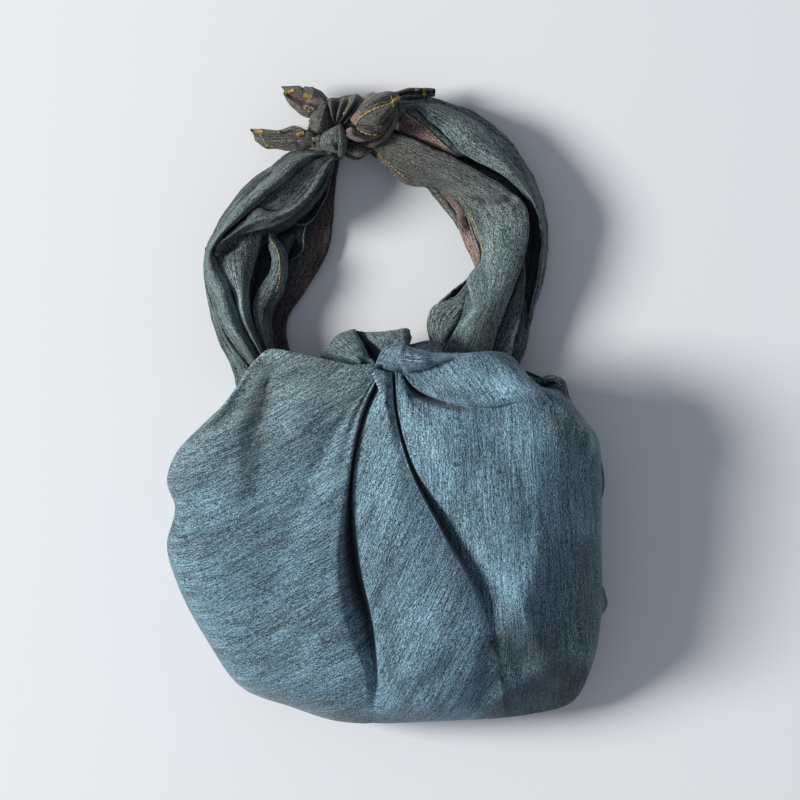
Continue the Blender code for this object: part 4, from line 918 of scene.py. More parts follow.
# The folded strips that lie over one another along the arms. left and right: a strip's two
# edges, from the top knot to the bag; arch: mm that its middle rises; leftRoll, rightRoll: mm
# of the radius that an edge is folded under with; dye as above, from end to end; folds: soft
# folds, each a line, a height, widths to the left and right, and the fading of its ends.
armStrips = dict(
    # painted shade: shade 0.2 makes this strip nearly black, as it lies deep in the arm's shade
    left_under=dict(
        left=((330, 160, 9), (318, 180, 9), (300, 206, 9), (284, 226, 9), (278, 240, 9), (282, 252, 9), (282, 268, 9),
            (272, 296, 9), (266, 316, 9), (266, 334, 9), (270, 352, 9), (276, 372, 8)),
        right=((333, 164, 12), (330, 178, 13), (325, 198, 14), (314, 218, 14), (305.5, 225, 14), (303.5, 246, 14),
            (291, 262, 14), (280, 300, 13), (271, 318, 13), (273, 334, 13), (278, 350, 12), (284, 372, 10)),
        arch=0, rightRoll=0.8, dye=(0.8, 0.6), shade=0.2,
    ),
    left_hem=dict(
        left=((266, 222, 15), (266, 236, 20), (269, 248, 24), (272, 259, 26), (270, 271, 27), (263, 282, 28),
            (256, 294, 28), (253, 306, 28), (254, 320, 28), (258, 336, 27), (265, 352, 26), (272, 372, 24)),
        right=((269, 223, 15), (276, 237, 20), (283, 245.5, 24), (287.5, 256, 26), (288.5, 268, 26), (286.5, 281, 26),
            (281, 295, 26), (273, 308, 26), (269, 320, 26), (269, 336, 26), (272, 352, 25), (279, 372, 23)),
        arch=3, leftRoll=1.5, rightRoll=1.5, shade=0.85, dye=(0.5, 0.3),
    ),
    left_bulge=dict(
        left=((213.5, 247, 25), (213.5, 257, 28), (218, 267, 31), (226, 281, 32), (233.5, 295, 32), (236, 309, 32),
            (241, 324, 32), (250, 341, 31), (262, 362, 29), (270, 378, 26)),
        right=((262, 222, 22), (261.5, 236, 25), (258.5, 252, 28), (253, 269, 30), (250, 284, 31), (249.5, 300, 31),
            (251, 315, 31), (256, 331, 30), (264, 351, 28), (272, 372, 25)),
        arch=5, leftRoll=1.0, rightRoll=2.2, shade=0.85, dye=(0.55, 0.3),
        folds=((((220, 252), (230, 247), (244, 243)), -5, 5, 5, (0.1, 0.3)), (((215, 258), (232, 259), (248, 255)),
            -1.2, 2, 3, (0.1, 0.3))),
    ),
    left_leaf=dict(
        left=((330, 155, 26), (313, 159, 30), (297, 171, 33), (278, 187, 34), (262, 200, 34), (249, 210, 33)),
        right=((334, 158, 26), (326, 166, 30), (318, 181, 31), (305, 200, 31), (285, 213, 31), (258, 214, 31)),
        arch=2.0, shade=0.85, dye=(0.75, 0.5),
        folds=((((322, 163), (304, 180), (290, 196), (276, 204)), -2.6, 7, 6, (0.2, 0.4)),),
    ),
    left_tube=dict(
        left=((333, 157, 27), (325.5, 163, 32), (319.5, 173, 34), (311, 188, 36), (299, 201, 37), (285, 209, 38),
            (270, 211, 38), (257, 208, 37), (243, 220.5, 36), (226, 235.5, 35), (214.5, 245, 33), (212.8, 255, 30)),
        right=((335, 158, 27), (330, 167, 32), (325, 178, 34), (318, 189, 35), (309, 201, 35), (297, 212, 35),
            (281, 223, 35), (264, 229, 34), (248, 233, 33), (234, 238.5, 32), (224, 247, 30), (220, 257, 28)),
        arch=4, leftRoll=1.6, rightRoll=2.6, shade=0.85, dye=(0.7, 0.42),
    ),
    left_outer=dict(
        left=((331, 153, 20), (311, 149, 22), (289, 152, 24), (264, 173.5, 28), (243, 193.5, 30), (221.5, 220.5, 30),
            (207, 245, 28), (203.7, 262, 27), (206.5, 283, 28), (214.5, 305, 30), (220, 325, 30), (229, 341, 29),
            (240, 355, 28), (254, 372, 24)),
        right=((334, 155, 22), (318, 157, 29), (303, 166.5, 35), (284, 183, 38), (264, 199, 39), (243, 218, 38),
            (222, 236.5, 36), (213.5, 250, 34), (218, 265, 34), (228, 284, 35), (234.5, 303, 35), (242, 326, 34),
            (253, 346, 33), (268, 372, 29)),
        arch=6, leftRoll=3.0, rightRoll=1.4, shade=0.85, dye=(0.7, 0.5, 0.42, 0.3),
    ),
    left_rim=dict(
        left=((206, 247, 18), (204.2, 264, 21), (206, 288, 23), (210.5, 308, 24), (216, 328, 24), (224, 347, 23),
            (231, 364, 21), (236, 386, 17)),
        right=((207, 248, 20), (208, 268, 25), (212, 289, 28), (217.5, 308, 30), (223.5, 328, 31), (232.5, 345, 30),
            (246, 362, 28), (258, 378, 24)),
        arch=2, leftRoll=2.0, rightRoll=1.6, shade=0.85, dye=(0.42, 0.3),
    ),
    right_rim=dict(
        left=((398, 107, 22.1), (415, 106, 23.9), (433, 108, 25.8), (450, 112, 26.7), (466, 120, 27.6),
            (480, 132, 27.6), (495, 147, 27.6), (508, 162, 27.6), (519, 178, 26.7), (529, 194, 25.8),
            (536, 211, 24.8), (540, 228, 23.9), (541, 246, 22.1), (539, 266, 21.2), (536, 286, 20.2),
            (532, 304, 19.3), (527, 325, 18.4), (520, 350, 16.6), (514, 374, 13.8)),
        right=((398, 97.5, 16.6), (415, 96.3, 18.4), (433, 97.7, 18.4), (451.5, 103.3, 18.4), (467, 111.7, 18.4),
            (483, 120, 18.4), (498, 129.2, 18.4), (511, 141, 18.4), (522, 157, 18.4), (533.3, 176.7, 18.4),
            (541.7, 198.3, 16.6), (546, 217, 16.6), (547.5, 235, 15.6), (547, 260, 14.7), (543.5, 281.7, 14.7),
            (538.3, 298.3, 13.8), (532, 314, 13.8), (527, 345, 12.9), (519, 366, 10.1)),
        arch=3, leftRoll=1.0, rightRoll=2.5, dye=(0.6, 0.48, 0.45, 0.35),
        folds=((((404, 101), (430, 102), (453, 108), (468, 117)), -1.5, 2, 2, (0.1, 0.2)), (((478, 122), (500, 139),
            (516, 160), (530, 184)), -1.5, 3, 3, (0.2, 0.2))),
    ),
    right_back=dict(
        left=((398, 119, 26), (410, 109, 28), (417, 110, 30), (427, 120, 32), (440, 130, 33), (450, 140, 34),
            (460, 152, 34), (474, 160, 34), (488, 167, 34), (503, 175, 34), (514, 185, 33), (524, 196, 32),
            (533, 206, 31), (539, 220, 29), (541, 238, 27)),
        right=((399, 103, 24), (412, 102, 26), (427, 103, 29), (446.7, 106.7, 31), (463, 113.3, 33),
            (476.7, 123.3, 34), (485, 131, 34), (492, 138.5, 34), (499, 146, 34), (505, 153.3, 34),
            (516.7, 168.3, 33), (526.7, 183.3, 32), (535, 200, 31), (540.5, 216.7, 29), (543, 238, 27)),
        arch=3.5, leftRoll=1.6, rightRoll=1.2, dye=(0.55, 0.46, 0.4),
        folds=((((432, 118), (450, 126), (470, 142)), -1.2, 5, 6, (0.3, 0.3)), (((462, 128), (478, 142), (494, 160)),
            1.0, 5, 6, (0.3, 0.3))),
    ),
    right_pink=dict(
        left=((390, 119, 19), (393, 126, 21), (403, 134, 23), (418, 141, 25), (435, 148.5, 26), (456, 159, 27)),
        right=((394, 107, 25), (404, 112, 27), (414, 119, 29), (426, 129, 30), (438, 140, 31), (458, 156, 31)),
        arch=0.5, dye=(0.9, 0.6), wrong=1.0,
    ),
    right_hem=dict(
        left=((394, 108, 22), (402.5, 113, 24), (413, 121, 26), (425, 130.5, 27), (436, 139.5, 28), (446, 148.5, 28),
            (457, 157, 28)),
        right=((402, 101, 23), (412, 107, 26), (419, 113, 27), (429, 122, 28), (441, 132, 29), (452, 143, 29),
            (464, 156, 29)),
        arch=0.6, leftRoll=0.9, dye=(0.75, 0.5),
    ),
    right_third=dict(
        left=((521, 296, 17), (520, 318, 19), (515, 338, 19), (511, 354, 18), (506, 372, 14)),
        right=((526, 302, 17), (528.5, 322, 19), (527.5, 345, 19), (520.5, 362, 17), (514, 376, 13)), arch=0.5,
        rightRoll=1.0, dye=(0.4, 0.3),
    ),
    right_middle=dict(
        left=((520, 258, 22), (520, 274, 24), (514, 292, 26), (508, 306, 26), (503, 320, 26), (497, 337, 25),
            (491, 355, 23), (486, 372, 18)),
        right=((525, 262, 22), (525.5, 281, 25), (524, 298, 27), (520.5, 318, 27), (516, 336, 26), (512, 352.5, 25),
            (508, 366, 22), (503, 380, 18)),
        arch=0.5, rightRoll=1.2, dye=(0.45, 0.3),
    ),
    ring_strip=dict(
        left=((425, 185, 15), (433.3, 196.7, 17), (441.7, 206.7, 19), (450, 216.7, 20), (456.5, 224, 19),
            (461, 231, 15)),
        right=((434, 186, 17), (441.5, 193.5, 19), (450.5, 206, 21), (457, 213, 22), (461, 220, 20),
            (463.5, 229, 15)),
        arch=0.4, leftRoll=1.0, rightRoll=0.8, dye=(0.7, 0.6),
    ),
    ring_pink=dict(
        left=((436, 187, 18), (449, 203, 21), (457, 215, 23), (459, 230, 23), (464, 244, 25), (471.7, 259, 27),
            (475.5, 268, 27)),
        right=((448, 190, 20), (458, 201, 24), (466, 213, 27), (472, 228, 29), (477, 242, 31), (480, 254, 32),
            (480, 266, 32)),
        arch=1.0, leftRoll=1.0, dye=(0.8, 0.5), wrong=1.0,
        folds=((((463.5, 216), (465, 224), (466.5, 232)), -7, 2.5, 3, (0.1, 0.1)),),
    ),
    right_curl=dict(
        left=((468, 280, 26), (456.7, 295, 22), (443.3, 301.7, 17), (433.3, 306.7, 14), (428.3, 314, 13),
            (426.7, 323.5, 13), (428.3, 332, 13), (433.3, 342, 13), (436, 352, 12), (440, 366, 10)),
        right=((472, 284, 24), (475, 296, 24), (477, 306, 24), (474, 316, 24), (467, 324, 24), (461, 333, 23),
            (456, 342, 21), (451, 350, 19), (448, 358, 16), (447, 368, 10)),
        arch=1.0, leftRoll=1.0, dye=(0.5, 0.35),
        folds=((((472, 292), (469, 306), (462, 319), (454, 332), (446, 348)), -6.0, 12, 4, (0.1, 0.1)),),
    ),
    right_front=dict(
        left=((366, 147, 17.6), (377, 160, 19.4), (387, 170, 19.4), (400, 181, 20.2), (410, 186, 21.1),
            (423, 187, 22), (434, 187, 22.9), (444, 192, 24.6), (455, 198.5, 26.4), (464, 210, 27.3),
            (471, 224, 28.2), (475.5, 238, 29), (478.5, 252, 29.9), (478.5, 263, 30.8), (470, 273, 32.6),
            (466.7, 282, 33.4), (469.5, 292, 33.4), (471, 303, 33.4), (467, 314, 33.4), (460, 322, 32.6),
            (454, 332, 31.7), (448, 344, 29.9), (442, 354, 28.2), (436, 368, 23.8)),
        right=((374, 143, 22.9), (382, 138, 25.5), (390, 134, 27.3), (403, 135, 29.9), (423, 143.5, 33.4),
            (443, 152.5, 35.2), (463, 162, 37), (483, 173.5, 37.8), (498, 182, 38.7), (511, 192, 38.7),
            (521, 199, 37.8), (527, 209, 37.8), (529, 220, 37.8), (529, 232, 37.8), (526.7, 247, 37.8),
            (522.5, 263, 37.8), (518, 277, 37.8), (513, 290, 37), (508, 303, 36.1), (503, 317, 35.2),
            (498.5, 330, 33.4), (495, 342, 32.6), (491.5, 354, 30.8), (487, 368, 26.4)),
        arch=5, leftRoll=1.2, rightRoll=1.7, dye=(0.95, 0.9, 0.72, 0.5, 0.38, 0.36, 0.34),
        folds=((((464, 195), (478, 201), (498, 203), (518, 199)), -4.5, 4.5, 2, (0.3, 0.15)), (((482, 214),
            (500, 212), (518, 210)), 1.5, 6, 8, (0.2, 0.2)), (((498, 236), (491, 248), (488, 262)), 1.8, 6, 5,
            (0.3, 0.3)), (((503, 233), (508, 230), (514, 228)), -1.2, 2, 2, (0.2, 0.2)), (((470, 300), (478, 312),
            (474, 330)), -1.4, 7, 7, (0.2, 0.3)), (((380, 148), (392, 142), (400, 140)), -1.2, 4, 4, (0.2, 0.3))),
    ),
)

# Angles round a strip's folded edge, and how many radii further in each line lies; and the
# shares across of the lines between its edges.
stripEdge = ((180, 2.0), (180, 0.0), (130, 0.0), (90, 0.0), (45, 0.0), (0, 0.0))
stripShares = (0.15, 0.35, 0.5, 0.65, 0.85)


# The table of a strip: its two edges, each folded round a half circle, and an arch between.
def stripCells(left, right, arch=0.0, leftRoll=0.0, rightRoll=0.0):
    left, right = np.array(left, float), np.array(right, float)
    across = right[:, :2] - left[:, :2]
    width = np.linalg.norm(across, axis=1, keepdims=True)
    across /= width

    def folded(edge, inward, roll):
        if not roll:
            return [edge]
        reach = np.minimum(roll / 1000 / photoView["metresPerPixel"], 0.4 * width)
        turns = [(math.radians(angle), further) for angle, further in stripEdge]
        return [
            np.column_stack((edge[:, :2] + inward * reach * (1 - math.sin(turn) + further),
                             edge[:, 2] + roll * math.cos(turn)))
            for turn, further in turns
        ]

    first, last = folded(left, across, leftRoll), folded(right, -across, rightRoll)[::-1]
    rise = np.array((0.0, 0.0, arch))
    middle = [first[-1] * (1 - part) + last[0] * part + rise * math.sin(math.pi * part) for part in stripShares]
    return dict(enumerate(first + middle + last))


# A strip of each table; its dye runs from end to end and is at least as brown as asked.
def makeStrips(strips, kind, seed, leastDye):
    made = {}
    for index, (name, strip) in enumerate(strips.items()):
        look = {key: strip[key] for key in ("wrong", "folds", "shade") if key in strip}
        cells = stripCells(**{key: value for key, value in strip.items() if key not in look and key != "dye"})
        ends = np.linspace(0, 1, len(strip["dye"]))
        dye = leastDye + (1 - leastDye) * np.interp(np.linspace(0, 1, len(strip["left"])), ends, strip["dye"])
        made[name] = stretchOf(name, cells, dye, kind, seed + index, **look)
    return made


strips = makeStrips(armStrips, "strip", 60, armLook["leastStripDye"])
armPieces.update((name, piece) for name, (piece, _) in strips.items())
print("strips made")

# ---- knots, tails and the front's ear

# Columns run from the knot out to the tip or the rolled end.
ear = dict(
    leftRoot=((374, 372, 66), (352, 368, 62), (334, 364, 54), (324, 358, 46), (322, 354, 36)),
    leftEdge=((376, 368, 66), (354, 361, 66), (338, 352, 62), (330, 345, 52), (328, 345, 38)),
    leftLobe=((378, 364, 66), (358, 352, 71), (346, 342, 68), (340, 334, 56), (341, 336, 38)),
    lobeEdge=((377, 367, 64), (366, 353, 69), (358, 341, 68), (351, 330.5, 55), (352, 334, 38)),
    crease=((379, 367, 50), (368.5, 354, 42), (360.5, 342, 40), (353.5, 331, 38), (354, 335, 34)),
    rightLow=((382, 364, 56), (375, 353, 53), (367.5, 342, 55), (361, 331.5, 48), (361, 335, 36)),
    rightLobe=((386, 360, 60), (382, 350, 63), (375, 340, 68), (370, 332.5, 57), (371, 337, 38)),
    rightTop=((391, 358, 62), (393, 348, 66), (393, 338, 70), (392, 330, 58), (392, 335, 38)),
    rolledEnd=((396, 358, 62), (402, 350, 66), (405, 341, 69), (405, 328.5, 58), (403, 334, 40)),
    endUnder=((398, 360, 50), (404, 352, 46), (408.5, 345, 42), (411.5, 337, 38), (406, 336, 34)),
)
frontFold = dict(
    topUnder=((398, 349, 70), (396, 347, 72), (399, 344.5, 76), (406, 345, 78), (416, 348.5, 78), (430, 351.5, 78),
        (458, 353, 76)),
    topRidge=((398, 351, 74), (394.5, 350.5, 80), (399, 347.5, 86), (407, 348.5, 88), (417, 352, 88), (431, 354, 87),
        (458, 355, 84)),
    middle=((399, 358, 76), (394.5, 356.5, 83), (399, 356, 90), (409, 356, 93), (420, 357.5, 94), (433, 358, 92),
        (458, 357, 88)),
    lower=((403, 364, 76), (397, 362.5, 83), (402, 362, 90), (411, 363, 93), (422, 363, 94), (435, 361.5, 92),
        (458, 359, 87)),
    bottomRidge=((407, 369, 74), (402.5, 369, 80), (406, 369, 86), (414, 368.5, 89), (424, 367, 90), (437, 364, 88),
        (458, 360.5, 84)),
    bottomUnder=((408, 371, 58), (405, 371.5, 60), (407, 371.5, 61), (415, 370.5, 62), (425, 369, 64),
        (438, 365.5, 66), (458, 361.5, 70)),
)
# Strips at the mouth: the two edges and the rest as for the arms.
frontStrips = dict(
    front_lobe=dict(
        left=((373.5, 371, 64), (376, 362, 72), (380, 353, 77), (386, 346.5, 79), (393, 344.3, 80), (401, 345, 79)),
        right=((403, 374, 66), (406, 369, 78), (407, 363, 88.5), (406, 357, 91), (405, 351, 88.5), (405, 346.5, 82)),
        arch=4, leftRoll=3.0, dye=(0.1, 0.08),
    ),
    ear_fold=dict(
        left=((320, 354, 48), (330, 347.5, 56), (340, 349.5, 62), (350, 353.5, 67), (358, 357, 70), (362.5, 361, 69)),
        right=((322, 359, 42), (332, 362, 50), (342, 364.5, 56), (350, 366.5, 60), (356, 367, 62), (360, 367.5, 62)),
        arch=2.5, leftRoll=1.0, rightRoll=0.8, dye=(0.35, 0.3),
    ),
    mouth_back=dict(
        left=((404, 346, 46), (412, 343.5, 48), (421, 342, 48), (430, 339.5, 46), (440, 342, 40)),
        right=((404, 358, 62), (414, 358, 62), (424, 358, 60), (434, 357, 58), (444, 357, 54)), arch=1.0,
        leftRoll=1.0, dye=(0.3, 0.3),
    ),
    cup_back=dict(
        left=((530, 376, 66), (536, 378, 69), (545, 376.2, 72), (556, 375.4, 73), (563.5, 379.5, 72), (568, 388, 68),
            (571, 403, 61)),
        right=((532, 381, 68), (538, 383, 71), (546, 381.6, 74), (554, 381.2, 75), (558.5, 384, 75), (561, 391, 72),
            (563, 402, 66)),
        arch=1.2, leftRoll=1.6, rightRoll=1.2, dye=(0.25, 0.3),
    ),
    side_upper=dict(
        left=((597, 453, 28), (599, 467, 33), (600, 482, 34), (599, 496, 32), (597, 510, 26)),
        right=((599, 456, 20), (603.8, 469, 24), (604.8, 482, 24), (603.5, 495, 22), (599, 508, 18)), arch=0.6,
        rightRoll=1.4, dye=(0.3, 0.3),
    ),
    side_lower=dict(
        left=((597, 576, 26), (600, 590, 30), (602, 604, 30), (599, 618, 24)),
        right=((600, 580, 18), (605.5, 593, 20), (607.5, 605, 20), (602, 615, 16)), arch=0.6, rightRoll=1.4,
        dye=(0.3, 0.3),
    ),
)

# The top knot's tails, from the knot out to their tips.
tailUpperLeft = dict(
    top=((328, 98, 30), (319, 90, 30), (311, 87.5, 28), (302, 85.5, 26), (292, 86, 24), (281, 86, 22)),
    topHem=((326, 101, 34), (316, 94, 34), (309, 91, 32), (301, 89.5, 29), (292, 90, 27), (283, 89, 24)),
    trough=((322, 106, 28), (312, 101, 26), (305, 99, 23), (298, 98, 22), (291, 96, 21), (284, 91.5, 20)),
    bottomHem=((318, 110, 33), (309, 111, 32), (302, 109, 31), (295, 104, 29), (289, 100, 26), (284, 94, 22)),
    bottom=((316, 114, 28), (309, 118, 28), (303, 116, 26), (296, 111.5, 24), (289.5, 105, 22), (282.5, 93, 20)),
)
tailLeft = dict(
    top=((316, 134, 28), (305, 129.5, 30), (294, 125.5, 30), (285, 128.5, 27), (275, 130, 24), (263, 129, 20),
        (250, 128.5, 17)),
    hemRidge=((315, 136, 33), (304, 132, 35), (293, 129, 33), (284, 131, 30), (274, 132.5, 27), (263, 131.5, 23),
        (251, 130, 19)),
    crease=((314, 138, 29), (303, 135.5, 29), (292, 133, 27), (283, 134, 25), (273, 135, 22), (263, 134, 19),
        (251.5, 131.5, 16)),
    middle=((314, 142, 33), (303, 141, 33), (291, 140, 30), (281, 140, 27), (272, 140, 24), (263, 139, 20),
        (253, 134, 17)),
    bottom=((316, 148, 26), (305, 149.5, 26), (296, 151, 25), (286, 151, 22), (277, 149, 19), (266, 148.5, 16),
        (255, 140, 13)),
)
tailRight = dict(
    top=((384, 96, 20), (396, 91.5, 24), (409, 87.5, 24), (421, 88, 22), (435, 88.5, 19)),
    ridge=((384, 98, 25), (397, 93, 29), (409, 89.5, 29), (421, 89.5, 26), (435, 90, 22)),
    trough=((385, 101, 21), (398, 95, 23), (410, 92, 22), (422, 92, 20), (435.5, 92, 17)),
    bottom=((386, 104, 20), (400, 98, 25), (411, 96.5, 25), (422, 96, 23), (435, 95.5, 19)),
)
tailFront = dict(
    top=((350, 118, 32), (358, 106, 36), (367, 98, 38), (379, 92.5, 38), (390, 91.5, 36), (398.5, 91.5, 33)),
    upperRidge=((351, 120, 38), (359, 110, 43), (369, 102, 46), (380, 97, 46), (391, 94.5, 43), (399, 94, 36)),
    stitchLine=((353, 124, 42), (360, 118, 48), (370, 111.5, 51), (381, 107, 51), (390, 103.5, 48), (399.5, 98, 39)),
    lower=((355, 125, 46), (365, 121, 54), (376, 116, 57), (386, 111, 55), (393, 106, 50), (398, 101, 41)),
    fold=((356, 126, 44), (366, 125, 53), (376, 125.5, 56), (384, 120, 54), (391, 113, 48), (396, 105, 38)),
)
lowerLeaf = dict(
    top=((356, 125.5, 41), (366, 124.5, 45), (376, 125, 45), (382, 122, 45), (389, 114.5, 43), (395.5, 105, 39)),
    middle=((357, 128, 47), (366, 130, 51), (375, 130.5, 50), (382, 126.5, 51), (390, 118, 49), (397.5, 106, 44)),
    bottom=((358, 130.5, 44), (367, 134, 46), (376, 135, 44), (383, 131, 45), (392, 120, 44), (398, 107, 40)),
)
pinkLoop = dict(
    top=((347, 130, 41), (352, 127.5, 43), (358, 131, 43), (366, 134, 42), (376, 135, 39), (382, 133, 36)),
    middle=((346, 134, 46), (352, 134, 50), (359, 137, 49), (367, 139.5, 46), (375, 138.5, 42), (382, 136, 37)),
    bottom=((348, 139, 38), (355, 142, 40), (361, 142.5, 39), (369, 141, 37), (376, 138.5, 34), (382, 136.5, 32)),
)
pinkPatch = dict(
    top=((361, 100, 24), (366, 94.5, 27), (373, 91.5, 28)), middle=((364, 102, 33), (370, 98, 35), (377, 94.5, 34)),
    bottom=((366, 106, 33), (372, 103, 36), (379, 98, 36)),
)
knotBand = dict(
    left=((336, 126, 25.1), (325, 131, 27), (319, 137, 27), (318.5, 143, 25.1), (321, 149, 21.4), (330, 153, 17.7),
        (337, 160, 14)),
    leftTop=((336.5, 126, 30.7), (328, 130.5, 35.3), (322, 137, 37.2), (321.5, 143.5, 36.3), (325, 149, 31.6),
        (332, 153.5, 25.1), (337.3, 160, 16.7)),
    middle=((339, 124, 33.5), (334, 130.5, 41.9), (331, 137, 44.6), (330, 144, 43.7), (332, 149, 38.1),
        (335, 154, 28.8), (338, 160.5, 17.7)),
    right=((341, 123.5, 33.5), (341, 131, 42.8), (342, 138, 45.6), (342, 144, 43.7), (341, 151, 38.1),
        (340, 156, 28.8), (339, 161, 16.7)),
    edge=((343, 124, 28.8), (345, 131, 33.5), (347, 138, 35.3), (347, 144, 33.5), (345, 152, 28.8),
        (342.5, 157.5, 22.3), (339.5, 161, 14)),
    under=((342, 126, 22.3), (343, 132, 22.3), (344, 138, 22.3), (344, 144, 21.4), (343, 151, 18.6), (341, 157, 14.9),
        (339, 161, 12.1)),
)
pinkCollar = dict(
    left=((315, 134, 26), (310.5, 138, 27), (311, 142, 27), (316, 148.5, 23), (320, 153, 18)),
    middle=((317, 133.5, 30), (314, 138, 33), (315, 143, 32), (318.5, 149, 27), (323, 153.5, 20)),
    right=((322, 132, 30), (320, 138, 34), (320, 143, 33), (323, 150, 27), (326, 154, 20)),
)
leftLobe = dict(
    outer=((306.5, 131, 22), (310, 121, 25), (311, 113.5, 28), (317, 107.5, 28), (323.5, 102.5, 26)),
    outerTop=((308, 133, 29), (312, 122.5, 33), (313.5, 115, 35), (319, 109, 34), (324, 104, 29)),
    middle=((317, 134, 33), (321, 124, 40), (322, 118, 42), (323.5, 112, 39), (326, 104, 33)),
    inner=((332, 132, 29), (331.5, 123, 34), (329.5, 117, 35), (328.5, 111, 33), (329, 103, 28)),
    under=((333, 132, 18), (333.5, 123, 16), (332, 117, 16), (331, 111, 16), (331, 103, 16)),
)
# The pleats that fan up from the knot's band. Columns run from the band over the top.
knotFan = dict(
    firstGroove=((334, 128, 24), (329.8, 116, 26), (326.3, 106, 25), (325.3, 101, 16)),
    firstPleat=((334.5, 125, 33), (332, 113, 42), (331, 103, 39), (331, 98.3, 20)),
    secondGroove=((335, 125, 28), (335.8, 113, 31), (337.5, 103, 30), (338.5, 98, 16)),
    secondPleat=((336, 124, 33), (339, 112.5, 43), (342, 103, 40), (344, 96, 20)),
    dip=((337, 124, 30), (342.5, 112.5, 37), (347, 103, 35), (349, 95.3, 17)),
    thirdPleat=((338.5, 123, 34), (346, 112.5, 43), (352, 103, 41), (356, 94.3, 20)),
    thirdGroove=((341, 125, 27), (348, 115, 31), (355.5, 105.5, 29), (361, 96.5, 16)),
    fourthPleat=((343, 125, 31), (350.5, 116, 39), (358, 106.5, 37), (363, 98, 20)),
    right=((345, 126, 26), (353, 118, 31), (360, 109, 29), (365.5, 100, 16)),
)

# Rolled bands of the knots, and the edges of folds. Columns of a line: x, y and height of the
# middle, half width in pixels and half thickness in mm.
rolledBands = dict(
    roll=dict(
        line=((362, 143, 24, 3, 4), (370, 144, 27, 4, 5), (379, 140.5, 30, 4, 5), (388, 132, 31, 4, 5),
            (393.5, 122, 31, 3.5, 5), (396, 111, 30, 2.5, 4)),
        dye=1.0, wrong=0.45,
    ),
    lowerBand=dict(
        line=((345, 146, 22, 4, 5), (353, 149, 26, 6, 7), (361, 151, 25, 6, 7), (369, 150, 20, 3, 4)), dye=1.0,
        wrong=0.3,
    ),
    lowerCord=dict(
        line=((342, 152, 18, 2, 3), (349, 155, 18, 2.5, 3), (357, 157, 15, 3, 4), (364, 155, 12, 2, 3)), dye=0.9,
        shade=0.8,
    ),
    packedTop=dict(
        line=((310, 122, 12, 2, 3), (318, 115, 14, 5, 6), (326, 109, 16, 7, 8), (340, 106, 16, 8, 8)), dye=0.9,
        shade=0.6,
    ),
    packedCloth=dict(
        line=((318, 128, 14, 5, 5), (332, 126, 16, 14, 13), (348, 126, 18, 19, 14), (364, 128, 16, 16, 12),
            (380, 134, 12, 6, 6)),
        dye=0.9, shade=0.5,
    ),
)
foldEdges = dict(
    leftUpperEdge=((331, 176, 15, 1, 1), (326, 196, 16, 0.9, 1), (321, 206, 16, 0.9, 1), (314, 218, 17, 0.9, 1),
        (306, 224, 17, 1.2, 1.2), (300, 225, 17, 0.9, 1), (291, 221, 18, 0.8, 1)),
    leftMiddleEdge=((306, 225, 16, 0.8, 1), (303.6, 238, 16, 0.9, 1), (303.6, 248, 16, 0.9, 1),
        (298.6, 255, 16, 0.9, 1), (290, 261, 16, 0.7, 1)),
    leftLowerEdge=((269, 309, 15, 0.8, 1), (270, 317, 15, 0.9, 1), (271.4, 329, 14, 0.9, 1), (274.3, 337, 14, 0.9, 1),
        (278, 350, 13, 0.9, 1), (284, 370, 12, 0.9, 1)),
    rightOuterEdge=((536, 203, 27, 0.8, 1), (540, 215, 28, 1, 1.2), (541.7, 245, 27, 1, 1.2), (539, 265, 26, 1, 1.2),
        (536.7, 285, 25, 1, 1.2), (533, 298, 24, 1, 1.2), (528, 320, 22, 0.9, 1)),
)
bandStep = 0.0013
bandGrooves = ((0.05, 5, 1), (0.03, 9, 2))    # how deep, how many round the band, and what turns them
bandLowest = 0.0004


# A rolled band: an ellipse carried along a smooth line, its width level, its ends closed to a
# point, and its surface grooved along its length where the cloth is pleated.
def bandPiece(name, line, dye, wrong=0.0, shade=1.0, sides=48, seed=1):
    columns = np.asarray(line, float)
    middle = placed(columns[:, :3])
    sizes = columns[:, 3:] * (photoView["metresPerPixel"], 0.001)
    places, samples = spacing(middle[:, None], bandStep)
    middle, (wide, thick) = curveAt(middle, places, samples), curveAt(sizes, places, samples).T
    side, up = besideAndUp(unit(np.gradient(middle, axis=0)))
    turn = np.arange(sides) / sides * 2 * math.pi
    groove = 1 + sum(depth * np.sin(count * turn + seed * more) for depth, count, more in bandGrooves)
    grid = (
        middle[:, None]
        + side[:, None] * wide[:, None, None] * (groove * np.cos(turn))[:, None]
        + up[:, None] * thick[:, None, None] * (groove * np.sin(turn))[:, None]
    )
    grid[..., 2] = np.maximum(grid[..., 2], bandLowest)
    rings = len(grid)
    corner, quads = ringQuads(rings, sides)
    following = np.roll(corner, -1, axis=1)
    first, last = np.full((2, sides), rings * sides) + ((0,), (1,))
    caps = np.concatenate((np.stack((first, following[0], corner[0]), axis=-1),
                           np.stack((last, corner[-1], following[-1]), axis=-1)))
    points = np.concatenate((grid.reshape(-1, 3), middle[:1], middle[-1:]))
    piece = newPiece(name, points, quads.tolist() + caps.tolist(), rightSide)
    along = np.concatenate((np.repeat(samples, sides), samples[:1], samples[-1:]))
    across = np.concatenate((np.tile(turn * wide.mean(), rings), (0.0, 0.0)))
    addValues(piece, np.stack((along, across), axis=-1), dye=dye, wrongSide=wrong, shade=shade)
    return piece, grid


